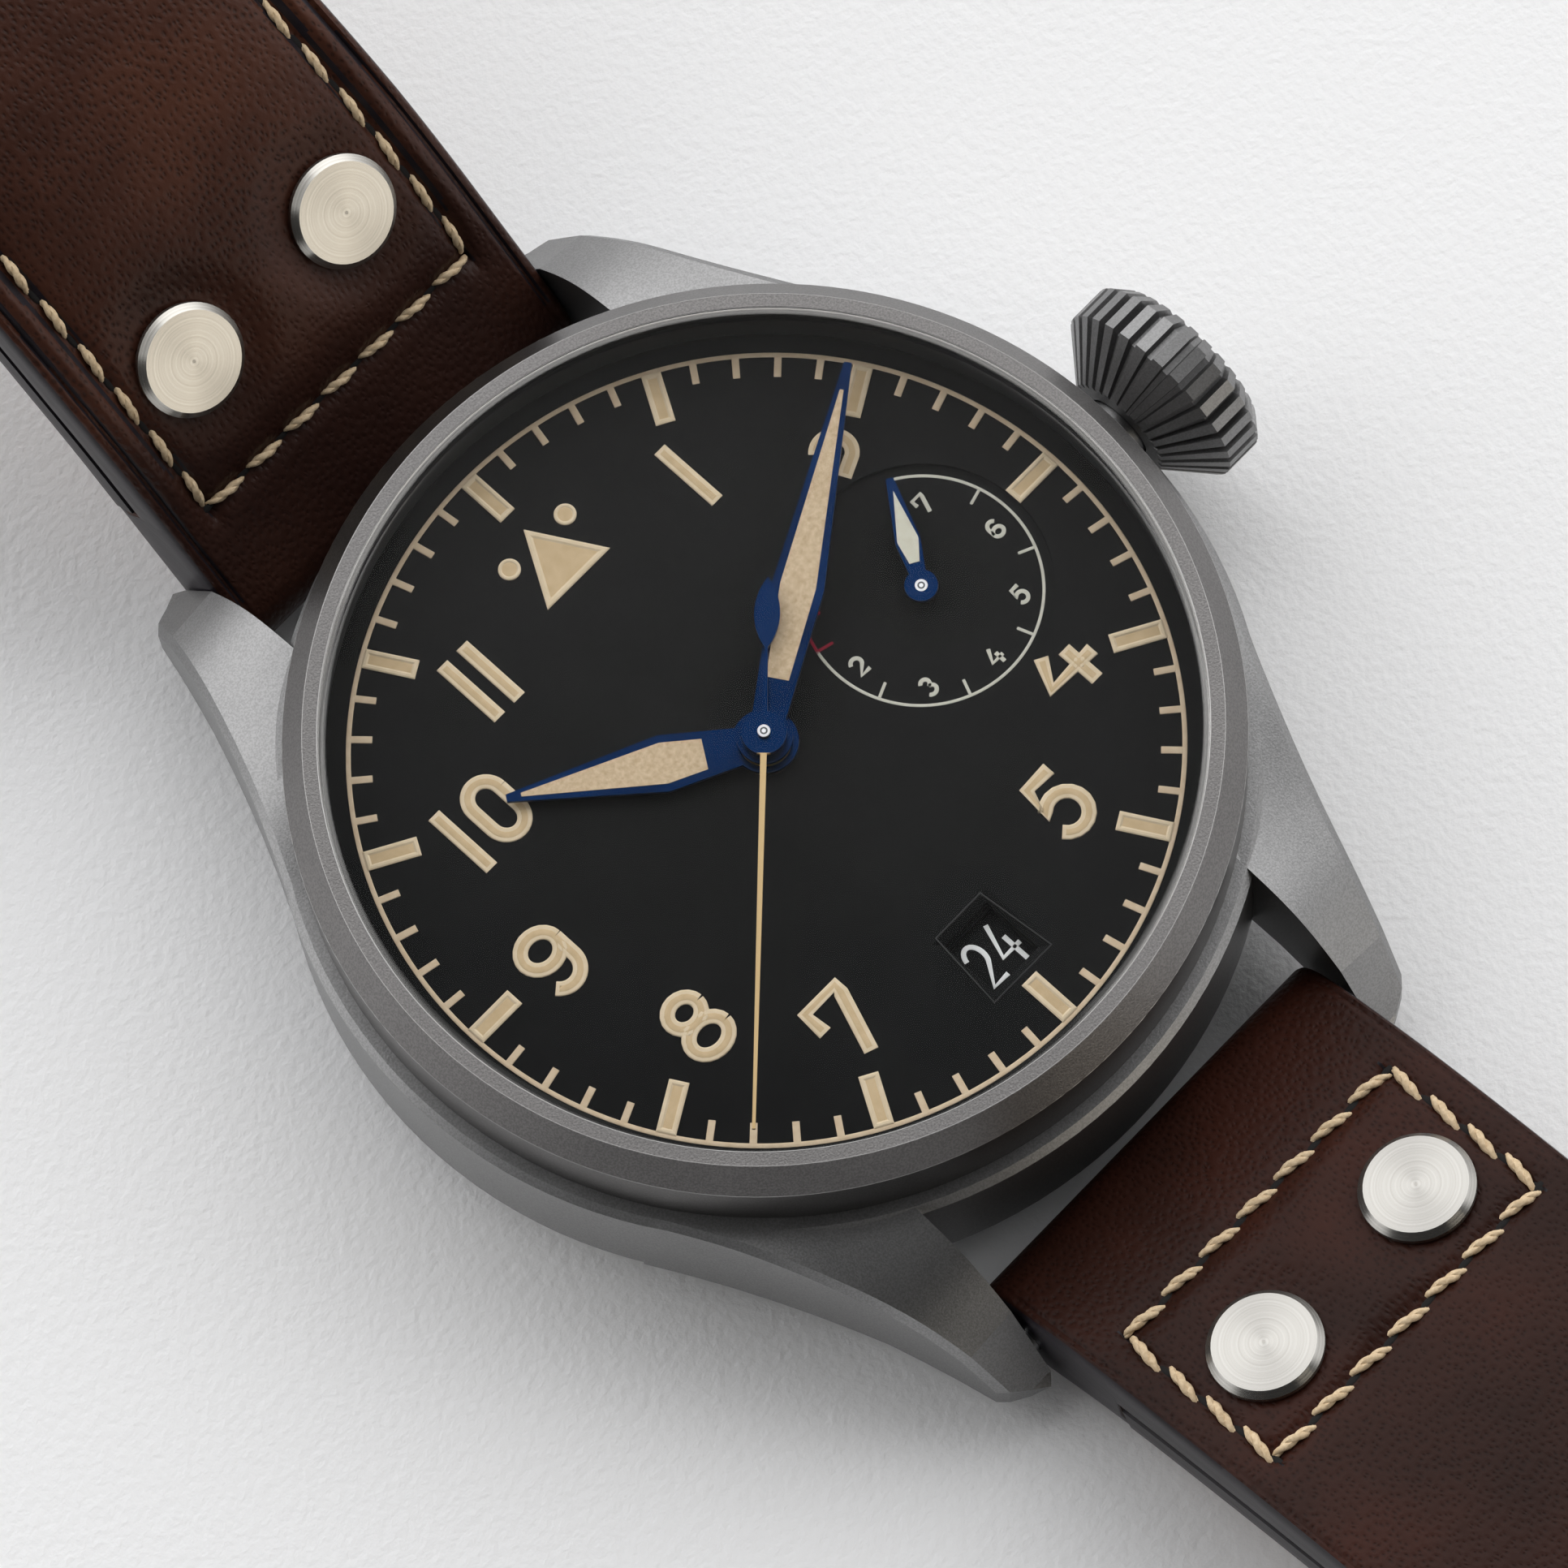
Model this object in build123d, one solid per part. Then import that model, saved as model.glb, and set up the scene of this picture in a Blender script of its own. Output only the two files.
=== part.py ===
"""A pilot's wristwatch with a coned crown and a riveted leather strap, one STEP file per piece.

Millimetres. The origin is the centre of the case back's resting face, +X points to 3 o'clock and
the crown, +Y to 12 o'clock, and +Z up through the crystal. The watch lies on its back, with both
halves of the strap arched up from the lugs and down again to the table.
"""

import os
from math import acos, atan2, cos, degrees, radians, sin

from build123d import *

# Driving sizes of the case
case_diameter = 46.2
total_height = 15.4
dial_height = 11.64
neck_step = 3.2
neck_wall = 1.2
underside_inset = 2.2
neck_diameter = case_diameter - neck_step
bore_diameter = neck_diameter - neck_wall
underside_diameter = case_diameter - underside_inset
band_low = 3.4
band_high = 9.93
band_bevel = 0.35
neck_high = 12.3
back_joint = 2.9

# Lugs: the plan is one quadrant, the side view is one end
lug_gap = 22.2
lug_reach = 28.6
lug_inner_top = [(19.5, 9.93), (23.0, 9.1), (25.8, 6.7)]
lug_outer_top = [(15.38, 9.93), (20.88, 7.83), (25.8, 4.35)]
lug_outer_top_x = 20.4
lug_fall_share = 1.25
lug_tip_high = 2.5
lug_tip_low = 1.5
lug_tip_round = 0.45
lug_root_x = 20.26
lug_root_y = 11.0
lug_waist_x = 16.1
lug_waist_y = 19.9
lug_outer_x = 13.75
lug_outer_y = 27.2

# Bezel, crystal and the wall between crystal and dial
crystal_dome = 0.74
crystal_thickness = 0.9
crystal_inset = 0.8
crystal_edge_high = total_height - crystal_dome
crystal_diameter = bore_diameter - crystal_inset
bezel_inset = 1.8
bezel_cone_step = 2.0
bezel_cone_height = 1.35
bezel_lip = 0.04
bezel_diameter = case_diameter - bezel_inset
bezel_top_diameter = bezel_diameter - bezel_cone_step
bezel_high = crystal_edge_high + bezel_lip
bezel_wall_high = bezel_high - bezel_cone_height
gasket_thickness = 0.42
gasket_below_edge = 0.56
gasket_height = 0.74
gasket_high = crystal_edge_high - gasket_below_edge
gasket_low = gasket_high - gasket_height
lip_gap = 0.03
rehaut_lip = 0.26
rehaut_play = 0.1
rehaut_inner = crystal_diameter - rehaut_lip
rehaut_outer = bore_diameter - rehaut_play
rehaut_high = 13.3

# Case back and the iron cover inside it
back_thickness = 1.15
back_inset = 0.4
back_flank_spread = 8.6
back_flank_diameter = underside_diameter - back_inset
back_face_diameter = back_flank_diameter - back_flank_spread
back_flank_high = 2.5
back_flange_high = 2.86
back_collar_play = 0.2
back_collar_wall = 2.0
back_collar_outer = bore_diameter - back_collar_play
back_collar_inner = back_collar_outer - back_collar_wall
back_collar_high = 3.9
back_gasket_section = 0.4
cage_play = 0.4
cage_wall = 1.2
cage_outer = bore_diameter - cage_play
cage_inner = cage_outer - cage_wall
cage_low = 4.0
cage_high = 11.2
cage_floor = 0.3
holder_play = 0.1
holder_wall = 2.0
holder_outer = cage_inner - holder_play
holder_inner = holder_outer - holder_wall
holder_low = 5.6
holder_high = 9.0

# Crown and the parts on its axis, which is level with the mainplate
stem_height = 7.08
stem_diameter = 1.0
stem_square = 0.74
stem_pilot_diameter = 0.7
stem_inner_x = 9.3
stem_square_x = 10.2
stem_round_x = 14.9
crown_play = 0.65
crown_cone_length = 2.15
crown_band_length = 1.9
crown_bevel_length = 0.7
crown_inner_x = case_diameter / 2 + crown_play
crown_wide_x = crown_inner_x + crown_cone_length
crown_chamfer_x = crown_wide_x + crown_band_length
crown_outer_x = crown_chamfer_x + crown_bevel_length
crown_neck_diameter = 5.5
crown_diameter = 10.26
crown_face_diameter = 8.7
crown_recess_diameter = 3.5
crown_recess_wall = 0.2
crown_recess_x = crown_wide_x - crown_recess_wall
stem_in_crown = 1.1
stem_outer_x = crown_recess_x + stem_in_crown
crown_ribs = 30
crown_rib_share = 0.56
crown_groove_floor_share = 0.3
crown_groove_share = 0.91
tube_outer = 3.2
tube_inner = 2.0
tube_end_gap = 0.5
tube_in_bore = 0.05
tube_inner_x = bore_diameter / 2 + tube_in_bore
tube_outer_x = crown_recess_x - tube_end_gap
seal_inner = 1.1
seal_outer = 1.96
seal_from_end = 3.0
seal_inner_x = tube_outer_x - seal_from_end
seal_length = 1.0

# Dial
dial_diameter = bore_diameter - cage_play
dial_thickness = 0.4
dial_hole_diameter = 2.9
subdial_x = 10.44
subdial_diameter = 12.4
subdial_depth = 0.22
subdial_hole_diameter = 0.9
window_y = -14.25
window_width = 2.9
window_height = 3.2
window_bevel = 0.4
mark_thickness = 0.1
mark_outer = 38.4
mark_inner = 33.25
mark_width = 0.95
marks = 12
triangle_tip_y = 15.6
triangle_base_y = 12.0
triangle_half = 2.08
dot_x = 1.86
dot_y = 14.7
dot_diameter = 1.07

# Hands, from the lowest to the highest
hand_thickness = 0.22
hand_border = 0.38
lume_proud = 0.03
hour_hand_low = 12.02
hour_hub_diameter = 3.1
hour_hand_length = 12.2
hour_hand_wide_at = 4.8
hour_hand_wide = 2.8
hour_hand_neck = 1.5
hour_lume_start = 2.85
hour_lume_end = 11.5
minute_hand_low = 12.62
minute_hub_diameter = 2.6
minute_hand_length = 18.8
minute_hand_wide_at = 7.5
minute_hand_wide = 2.45
minute_hand_neck = 1.44
minute_lume_start = 2.87
minute_lume_end = 17.4
hand_tip_width = 0.36
seconds_hand_low = 13.22
seconds_hub_diameter = 2.1
seconds_cap_high = 13.66
seconds_cap_diameter = 0.6
seconds_hand_length = 19.0
seconds_needle_width = 0.3
seconds_tail = 7.6
seconds_leaf_start = 4.2
seconds_leaf_width = 1.2
reserve_hand_low = 11.9
reserve_hub_diameter = 1.56
reserve_hand_length = 5.5
reserve_hand_wide_at = 2.3
reserve_hand_wide = 1.2
reserve_hand_neck = 0.6
reserve_hand_border = 0.14
reserve_lume_start = 1.2
reserve_lume_end = 4.75
reserve_arbor_diameter = 0.6
reserve_arbor_low = 8.2

# Where each hand points at rest, in degrees clockwise from 12 o'clock
hour_hand_at = 304.0
minute_hand_at = 58.2
seconds_hand_at = 227.7
reserve_hand_at = 31.0

# Motion work between mainplate and dial
motion_module = 0.15
cannon_teeth = 10
minute_wheel_teeth = 30
minute_pinion_teeth = 8
hour_wheel_teeth = 32
minute_wheel_side = 115.0
cannon_low = 9.15
cannon_high = 9.75
cannon_pipe_outer = 1.5
cannon_pipe_inner = 0.9
centre_pipe_outer = 0.8
centre_pipe_high = 12.5
minute_wheel_low = 9.3
minute_wheel_high = 9.6
hour_wheel_low = 9.95
hour_wheel_high = 10.25
minute_pinion_high = 10.3
hour_pipe_outer = 2.5
hour_pipe_inner = 1.6

# Date ring
date_outer = 36.4
date_inner = 24.4
date_low = 10.55
date_high = 10.85
date_teeth = 31
date_tooth_depth = 0.6

# Mainplate and bridges
plate_diameter = 38.0
plate_low = 6.1
plate_high = 8.9
date_seat_outer = 35.6
date_seat_inner = 30.0
date_seat_gap = 0.04
keyless_inner_x = 10.6
keyless_outer_x = 17.4
keyless_width = 2.6
keyless_high = 8.4
bridge_low = 2.95
bridge_high = 3.75
bridge_diameter = 37.2
pillar_diameter = 2.4
pillar_circle = 35.0
barrel_pillars = [83, -7]
train_pillars = [105, 180]
cock_pillars = [258]
barrel_bridge_x = 1.2
barrel_bridge_y = -3.0
train_bridge_x = 0.9
train_bridge_y = -5.4
cock_width = 6.0
cock_gap = 0.4
screw_head_diameter = 1.8
screw_head_height = 0.3
screw_slot_width = 0.3
screw_slot_depth = 0.15

# Going train: levels rise from the bridges to the mainplate
barrel_teeth = 60
centre_pinion_teeth = 10
barrel_module = 0.2
barrel_drum_diameter = 11.0
barrel_low = 4.25
barrel_teeth_low = 5.4
barrel_high = 5.65
barrel_arbor_diameter = 1.4
centre_pinion_low = 5.35
centre_pinion_high = 5.7
centre_wheel_teeth = 45
centre_wheel_low = 5.75
centre_wheel_high = 5.95
train_module = 0.16
third_pinion_teeth = 6
third_side = 160.0
third_pinion_low = 5.7
third_pinion_high = 6.0
third_wheel_teeth = 48
third_wheel_low = 4.9
third_wheel_high = 5.1
fourth_pinion_teeth = 6
fourth_pinion_low = 4.8
fourth_pinion_high = 5.2
fourth_wheel_teeth = 54
fourth_wheel_low = 3.9
fourth_wheel_high = 4.1
escape_pinion_teeth = 6
escape_module = 0.135
escape_side = 275.0
escape_pinion_low = 3.85
escape_pinion_high = 4.15
escape_wheel_teeth = 15
escape_wheel_diameter = 4.0
escape_wheel_low = 5.3
escape_wheel_high = 5.5
arbor_diameter = 0.36
pivot_end = 0.3

# Winding train
ratchet_teeth = 30
crown_wheel_teeth = 41
winding_module = 0.2
winding_low = 5.75
winding_high = 5.95
winding_contact_x = 16.0
crown_wheel_post = 1.6
winding_pinion_teeth = 9
winding_pinion_x = 15.0
winding_pinion_length = 2.0
sliding_pinion_x = 11.7
sliding_pinion_length = 3.0
sliding_pinion_diameter = 1.9
sliding_groove_diameter = 1.5
sliding_groove_length = 0.8

# Escapement and balance
pallet_side = 250.0
pallet_from_escape = 2.9
balance_from_escape = 7.95
pallet_width = 0.5
pallet_high = 5.52
pallet_low = 5.28
balance_diameter = 9.0
balance_rim = 0.6
balance_low = 4.6
balance_high = 5.0
roller_diameter = 1.2
roller_high = 5.2
staff_high = 5.9
hairspring_low = 4.15
hairspring_high = 4.3
hairspring_start = 0.55
hairspring_pitch = 0.3
hairspring_turns = 5
hairspring_steps = 12
hairspring_strip = 0.09

# Self-winding rotor
rotor_diameter = 34.8
rotor_rim_inner = 28.6
rotor_plate_low = 2.2
rotor_plate_high = 2.5
rotor_rim_low = 1.95
rotor_rim_high = 2.8
rotor_hub_diameter = 6.4
bearing_diameter = 4.0
bearing_low = 2.0
rotor_window_inner = 12.0
rotor_window_outer = 25.0
rotor_window_half = 24.0
rotor_window_turns = [-50, 0, 50]

# Strap: the spring bar carries each half, and its path is arcs in the side view
bar_y = 26.4
bar_z = 3.2
bar_diameter = 1.6
bar_tip_diameter = 0.9
bar_tip_reach = 0.9
strap_width = 22.0
strap_thickness = 5.8
lining_thickness = 2.0
lining_start = 6.0
strap_end_width = 20.0
short_length = 76.5
short_end_thickness = 4.0
short_lead = 8.0
short_angle = 50.0
short_radius = 42.0
short_taper_start = 14.0
long_length = 112.0
long_width = 21.6
long_tip_thickness = 3.2
long_angle = 28.0
long_bend_radius = 40.0
long_bend_length = 8.4
long_radius = 160.0
long_point_length = 15.0
long_point_width = 7.0
long_shoulder_share = 0.545
hole_diameter = 2.2
hole_pitch = 6.5
hole_count = 7
hole_first = 26.0
short_rivet_at = 11.9
long_rivet_at = 11.1
rivet_spacing = 10.14
rivet_diameter = 5.5
rivet_head = 0.55
rivet_bevel = 0.3
rivet_shank = 1.6
rivet_washer = 3.6
rivet_washer_thickness = 0.3
rivet_seat_gap = 0.12

# Buckle and the two leather loops, in the strap's own directions
buckle_bar_diameter = 1.5
buckle_bar_reach = 1.5
buckle_inner_width = 20.8
buckle_arm = 2.0
buckle_reach = 17.0
buckle_front = 3.2
buckle_thickness = 2.2
buckle_round = 4.0
buckle_groove_width = 2.2
buckle_groove_depth = 0.7
tongue_ring = 3.2
tongue_width = 2.6
tongue_pin_width = 1.8
tongue_pin_thickness = 1.2
tongue_length = 18.0
tongue_notch = 3.6
tongue_notch_depth = 5.5
loop_wall = 1.4
loop_length = 6.0
loop_side_gap = 0.3
loop_under_gap = 0.45
loop_headroom = 4.5
fixed_loop_back = 12.0
free_loop_back = 31.85

# Fits and cuts that many pieces share
overrun = 1.0
running_gap = 0.05
fitted_gap = 0.02
seat_gap = 0.1

# Teeth: shares of the pitch angle and of the module
tooth_tip_share = 0.18
tooth_root_share = 0.5
addendum_share = 0.85
dedendum_share = 1.15


def disc(diameter, low, high, x=0, y=0):
    """A round plate between two heights."""
    return Pos(x, y, low) * extrude(Circle(diameter / 2), high - low)


def ring(outer, inner, low, high, x=0, y=0):
    """A round plate with a round hole through it."""
    return Pos(x, y, low) * extrude(Circle(outer / 2) - Circle(inner / 2), high - low)


def turned(outline):
    """A solid turned about Z from a closed outline of (radius, height) points."""
    return revolve(Plane.XZ * make_face(Polyline(*outline, close=True)), Axis.Z)


def plate(outline, low, high):
    """A flat plate from a closed plan outline of (x, y) points."""
    return Pos(0, 0, low) * extrude(make_face(Polyline(*outline, close=True)), high - low)


def rod(diameter, start, end, y=0, z=0):
    """A round bar along X."""
    return Pos(start, y, z) * Rot(0, 90, 0) * extrude(Circle(diameter / 2), end - start)


def polar(radius, angle):
    """The plan point at a radius and an angle in degrees from +X."""
    return radius * cos(radians(angle)), radius * sin(radians(angle))


def box_between(low, high):
    """A block between two opposite corners."""
    size = [b - a for a, b in zip(low, high)]
    return Pos(*low) * Box(*size, align=(Align.MIN, Align.MIN, Align.MIN))


def tooth_outline(teeth, module, crest, turn):
    """The outline of a toothed wheel; with a crest share of 0 each tooth ends in a point."""
    tip = module * teeth / 2 + addendum_share * module
    root = module * teeth / 2 - dedendum_share * module
    pitch = 360 / teeth
    points = []
    for tooth in range(teeth):
        middle = turn + tooth * pitch
        if crest:
            points.append(polar(root, middle - pitch * tooth_root_share / 2))
            points.append(polar(tip, middle - pitch * crest / 2))
            points.append(polar(tip, middle + pitch * crest / 2))
            points.append(polar(root, middle + pitch * tooth_root_share / 2))
        else:
            points.append(polar(root, middle - pitch / 2))
            points.append(polar(tip, middle))
    return points


def wheel(teeth, module, low, high, place=(0, 0), turn=0, bore=0, crest=0):
    """A toothed wheel at a plan point, with an optional round bore."""
    face = make_face(Polyline(*tooth_outline(teeth, module, crest, turn), close=True))
    if bore:
        face -= Circle(bore / 2)
    return Pos(*place, low) * extrude(face, high - low)


def meshed_turn(turn, teeth, next_teeth, side):
    """How far the next wheel is turned so that its gap meets a tooth of the first.

    side is the direction from the first wheel's centre to the next one's."""
    phase = (side - turn) / (360 / teeth)
    return side + 180 - (1 / 2 - phase) * 360 / next_teeth


# Centres of the train, worked out from teeth and modules
barrel_distance = barrel_module * (barrel_teeth + centre_pinion_teeth) / 2
ratchet_radius = winding_module * ratchet_teeth / 2
crown_wheel_radius = winding_module * crown_wheel_teeth / 2
crown_wheel_x = winding_contact_x - crown_wheel_radius
winding_distance = ratchet_radius + crown_wheel_radius
barrel_side = degrees(acos((barrel_distance**2 + crown_wheel_x**2 - winding_distance**2)
                           / (2 * barrel_distance * crown_wheel_x)))
barrel_place = polar(barrel_distance, barrel_side)
third_distance = train_module * (centre_wheel_teeth + third_pinion_teeth) / 2
third_place = polar(third_distance, third_side)
third_module = 2 * third_distance / (third_wheel_teeth + fourth_pinion_teeth)
escape_distance = escape_module * (fourth_wheel_teeth + escape_pinion_teeth) / 2
escape_place = polar(escape_distance, escape_side)
pallet_step = polar(pallet_from_escape, pallet_side)
pallet_place = (escape_place[0] + pallet_step[0], escape_place[1] + pallet_step[1])
balance_step = polar(balance_from_escape, pallet_side)
balance_place = (escape_place[0] + balance_step[0], escape_place[1] + balance_step[1])
minute_distance = motion_module * (cannon_teeth + minute_wheel_teeth) / 2
minute_place = polar(minute_distance, minute_wheel_side)
case_radius = case_diameter / 2


# Case

def lug_section(x, top):
    """The side view of one end's lugs at a distance from the middle, as a face."""
    rest = Polyline(
        top[-1],
        (lug_reach - lug_tip_round, lug_tip_high),
        (lug_reach, lug_tip_high - lug_tip_round),
        (lug_reach - lug_tip_round, lug_tip_low),
        (underside_diameter / 2, back_joint),
        (lug_root_y, back_joint),
        (lug_root_y, band_high),
    )
    shoulder, tip = top[-2:]
    fall = (tip[0] - shoulder[0], (tip[1] - shoulder[1]) * lug_fall_share)
    crest = Spline((lug_root_y, band_high), *top, tangents=[(1, 0), fall])
    return Pos(x, 0, 0) * (Plane.YZ * make_face([crest, rest]))


def lug_pair():
    """Both lugs of one end: their tops fall outwards as well as down, and the plan trims them."""
    sections = [lug_section(lug_gap / 2, lug_inner_top), lug_section(lug_outer_top_x, lug_outer_top)]
    outer = ThreePointArc(
        (lug_root_x, lug_root_y), (lug_waist_x, lug_waist_y), (lug_outer_x, lug_outer_y)
    )
    inner = Polyline(
        (lug_outer_x, lug_outer_y),
        (lug_outer_x - lug_tip_round, lug_outer_y + lug_tip_round),
        (lug_gap / 2 + lug_tip_round, lug_reach),
        (lug_gap / 2, lug_reach - lug_tip_round),
        (lug_gap / 2, lug_root_y),
        (lug_root_x, lug_root_y),
    )
    plan = extrude(make_face([outer, inner]), total_height)
    lug = loft(sections, ruled=True) & plan
    flank = lug.faces().filter_by(GeomType.CYLINDER).sort_by(Axis.X)[-1]
    lug = chamfer(flank.edges().filter_by(GeomType.BSPLINE), band_bevel)
    lug -= disc(bore_diameter, 0, total_height)
    lug -= rod(bar_tip_diameter + 2 * fitted_gap, lug_gap / 2 - overrun,
               lug_gap / 2 + bar_tip_reach + seat_gap, bar_y, bar_z)
    return lug + mirror(lug, Plane.YZ)


def case_middle():
    """The band that carries everything, with four lugs that curve down."""
    band = turned([
        (bore_diameter / 2, back_joint),
        (underside_diameter / 2, back_joint),
        (case_radius, band_low),
        (case_radius, band_high - band_bevel),
        (case_radius - band_bevel, band_high),
        (neck_diameter / 2, band_high),
        (neck_diameter / 2, neck_high),
        (bore_diameter / 2, neck_high),
    ])
    lugs = lug_pair()
    body = band + lugs + mirror(lugs, Plane.XZ)
    return body - rod(tube_outer, 0, case_diameter, 0, stem_height)


def bezel():
    """The ring that presses over the neck and holds the crystal from above."""
    return turned([
        (neck_diameter / 2 + fitted_gap, band_high + fitted_gap),
        (bezel_diameter / 2, band_high + fitted_gap),
        (bezel_diameter / 2, bezel_wall_high),
        (bezel_top_diameter / 2, bezel_high),
        (crystal_diameter / 2 + lip_gap, bezel_high),
        (crystal_diameter / 2 + lip_gap, gasket_high + fitted_gap),
        (crystal_diameter / 2 + gasket_thickness + lip_gap, gasket_high + fitted_gap),
        (crystal_diameter / 2 + gasket_thickness + lip_gap, neck_high + fitted_gap),
        (neck_diameter / 2 + fitted_gap, neck_high + fitted_gap),
    ])


def crystal():
    """A shallow dome over a flat underside."""
    radius = crystal_diameter / 2
    rise = total_height - crystal_edge_high
    sphere = (radius**2 + rise**2) / (2 * rise)
    halfway = total_height - sphere + (sphere**2 - (radius / 2) ** 2) ** (1 / 2)
    low = crystal_edge_high - crystal_thickness
    outline = [
        ThreePointArc((0, total_height), (radius / 2, halfway), (radius, crystal_edge_high)),
        Polyline((radius, crystal_edge_high), (radius, low), (0, low), (0, total_height)),
    ]
    return revolve(Plane.XZ * make_face(outline), Axis.Z)


def case_back():
    """A dished cover with a flat resting face and a threaded collar."""
    flank = back_flank_diameter / 2
    return turned([
        (0, 0),
        (back_face_diameter / 2, 0),
        (flank, back_flank_high),
        (flank, back_flange_high),
        (back_collar_outer / 2, back_flange_high),
        (back_collar_outer / 2, back_collar_high),
        (back_collar_inner / 2, back_collar_high),
        (back_collar_inner / 2, back_flank_high),
        (back_face_diameter / 2, back_thickness),
        (0, back_thickness),
    ])


def inner_cage():
    """The soft iron cover round the movement: a wall and a floor above the case back."""
    wall = ring(cage_outer, cage_inner, cage_low, cage_high)
    step = ring(cage_outer, back_collar_inner - 2 * back_gasket_section, cage_low, cage_low + cage_floor)
    skirt = turned([
        (back_collar_inner / 2 - back_gasket_section, cage_low + cage_floor),
        (back_collar_inner / 2 - back_gasket_section, back_flank_high + cage_floor),
        (back_face_diameter / 2 - back_gasket_section, back_thickness + fitted_gap + cage_floor),
        (0, back_thickness + fitted_gap + cage_floor),
        (0, back_thickness + fitted_gap),
        (back_face_diameter / 2, back_thickness + fitted_gap),
        (back_collar_inner / 2 - fitted_gap, back_flank_high),
        (back_collar_inner / 2 - fitted_gap, cage_low + cage_floor),
    ])
    return wall + step + skirt - rod(tube_inner, 0, case_radius, 0, stem_height)


# Crown

def crown_section(x, diameter, groove):
    """A ribbed outline across the crown's axis; groove is the floor's radius as a share."""
    points = []
    pitch = 360 / crown_ribs
    crest, floor = pitch * crown_rib_share / 2, pitch * crown_groove_floor_share / 2
    for rib in range(crown_ribs):
        middle = rib * pitch
        gap = middle + pitch / 2
        corners = [(1, middle - crest), (1, middle + crest), (groove, gap - floor), (groove, gap + floor)]
        for share, angle in corners:
            across, up = polar(diameter / 2 * share, angle)
            points.append((x, across, up))
    return make_face(Polyline(*points, close=True))


def crown():
    """A ribbed cone that ends in a short cylinder and a bevel, with a recess for the tube."""
    shapes = [
        crown_section(crown_inner_x, crown_neck_diameter, crown_groove_share),
        crown_section(crown_wide_x, crown_diameter, crown_groove_share),
        crown_section(crown_chamfer_x, crown_diameter, crown_groove_share),
        crown_section(crown_outer_x, crown_face_diameter, crown_groove_share),
    ]
    body = loft(shapes, ruled=True)
    body -= rod(crown_recess_diameter, crown_inner_x - overrun, crown_recess_x)
    body -= rod(stem_diameter, crown_recess_x - overrun, stem_outer_x)
    return Pos(0, 0, stem_height) * body


def winding_stem():
    """The shaft of the crown: a pilot, a square for the sliding pinion and a round part."""
    square = box_between(
        (stem_square_x, -stem_square / 2, stem_height - stem_square / 2),
        (stem_round_x, stem_square / 2, stem_height + stem_square / 2),
    )
    pilot = rod(stem_pilot_diameter, stem_inner_x, stem_square_x, 0, stem_height)
    return square + pilot + rod(stem_diameter, stem_round_x, stem_outer_x, 0, stem_height)


def winding_pinion():
    """The pinion that the stem turns to wind the watch."""
    turn = 90 + 180 / winding_pinion_teeth
    body = wheel(winding_pinion_teeth, winding_module, 0, winding_pinion_length, turn=turn,
                 bore=stem_diameter + 2 * running_gap, crest=tooth_tip_share)
    return Pos(winding_pinion_x, 0, stem_height) * Rot(0, 90, 0) * body


def sliding_pinion():
    """The clutch on the stem's square, with the groove for its lever."""
    middle = sliding_pinion_x + sliding_pinion_length / 2
    end = sliding_pinion_x + sliding_pinion_length
    body = rod(sliding_pinion_diameter, sliding_pinion_x, middle - sliding_groove_length / 2)
    body += rod(sliding_groove_diameter, sliding_pinion_x, end)
    body += rod(sliding_pinion_diameter, middle + sliding_groove_length / 2, end)
    hole = stem_square / 2 + running_gap
    body -= box_between((sliding_pinion_x - overrun, -hole, -hole), (end + overrun, hole, hole))
    return Pos(0, 0, stem_height) * body


# Dial and hands

def dial():
    """A round plate with the sunk reserve scale and a bevelled date window."""
    top = dial_height
    low = dial_height - dial_thickness
    body = disc(dial_diameter, low, top)
    body -= disc(dial_hole_diameter, low - overrun, top + overrun)
    body -= disc(subdial_diameter, top - subdial_depth, top + overrun, subdial_x)
    body -= disc(subdial_hole_diameter, low - overrun, top + overrun, subdial_x)
    half_x, half_y = window_width / 2, window_height / 2
    body -= box_between((-half_x, window_y - half_y, low - overrun),
                        (half_x, window_y + half_y, top + overrun))
    lower = Pos(0, window_y, top - dial_thickness / 2) * Rectangle(window_width, window_height)
    upper = Pos(0, window_y, top) * Rectangle(window_width + 2 * window_bevel,
                                              window_height + 2 * window_bevel)
    return body - loft([lower, upper], ruled=True)


def hour_marks():
    """Raised bars at the hours, and the triangle with its two dots at 12 o'clock."""
    low, high = dial_height, dial_height + mark_thickness
    bars = []
    for mark in range(marks):
        bar = box_between((mark_inner / 2, -mark_width / 2, low), (mark_outer / 2, mark_width / 2, high))
        bars.append(Rot(0, 0, mark * 360 / marks) * bar)
    corners = [(0, triangle_tip_y), (-triangle_half, triangle_base_y), (triangle_half, triangle_base_y)]
    dots = [disc(dot_diameter, low, high, side * dot_x, dot_y) for side in (-1, 1)]
    return Compound(children=bars + [plate(corners, low, high)] + dots)


def lozenge(start, wide_at, end, start_width, wide, end_width):
    """A hand's outline along +Y: it widens to its middle and narrows to its tip."""
    return [
        (-start_width / 2, start), (-wide / 2, wide_at), (-end_width / 2, end),
        (end_width / 2, end), (wide / 2, wide_at), (start_width / 2, start),
    ]


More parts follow.
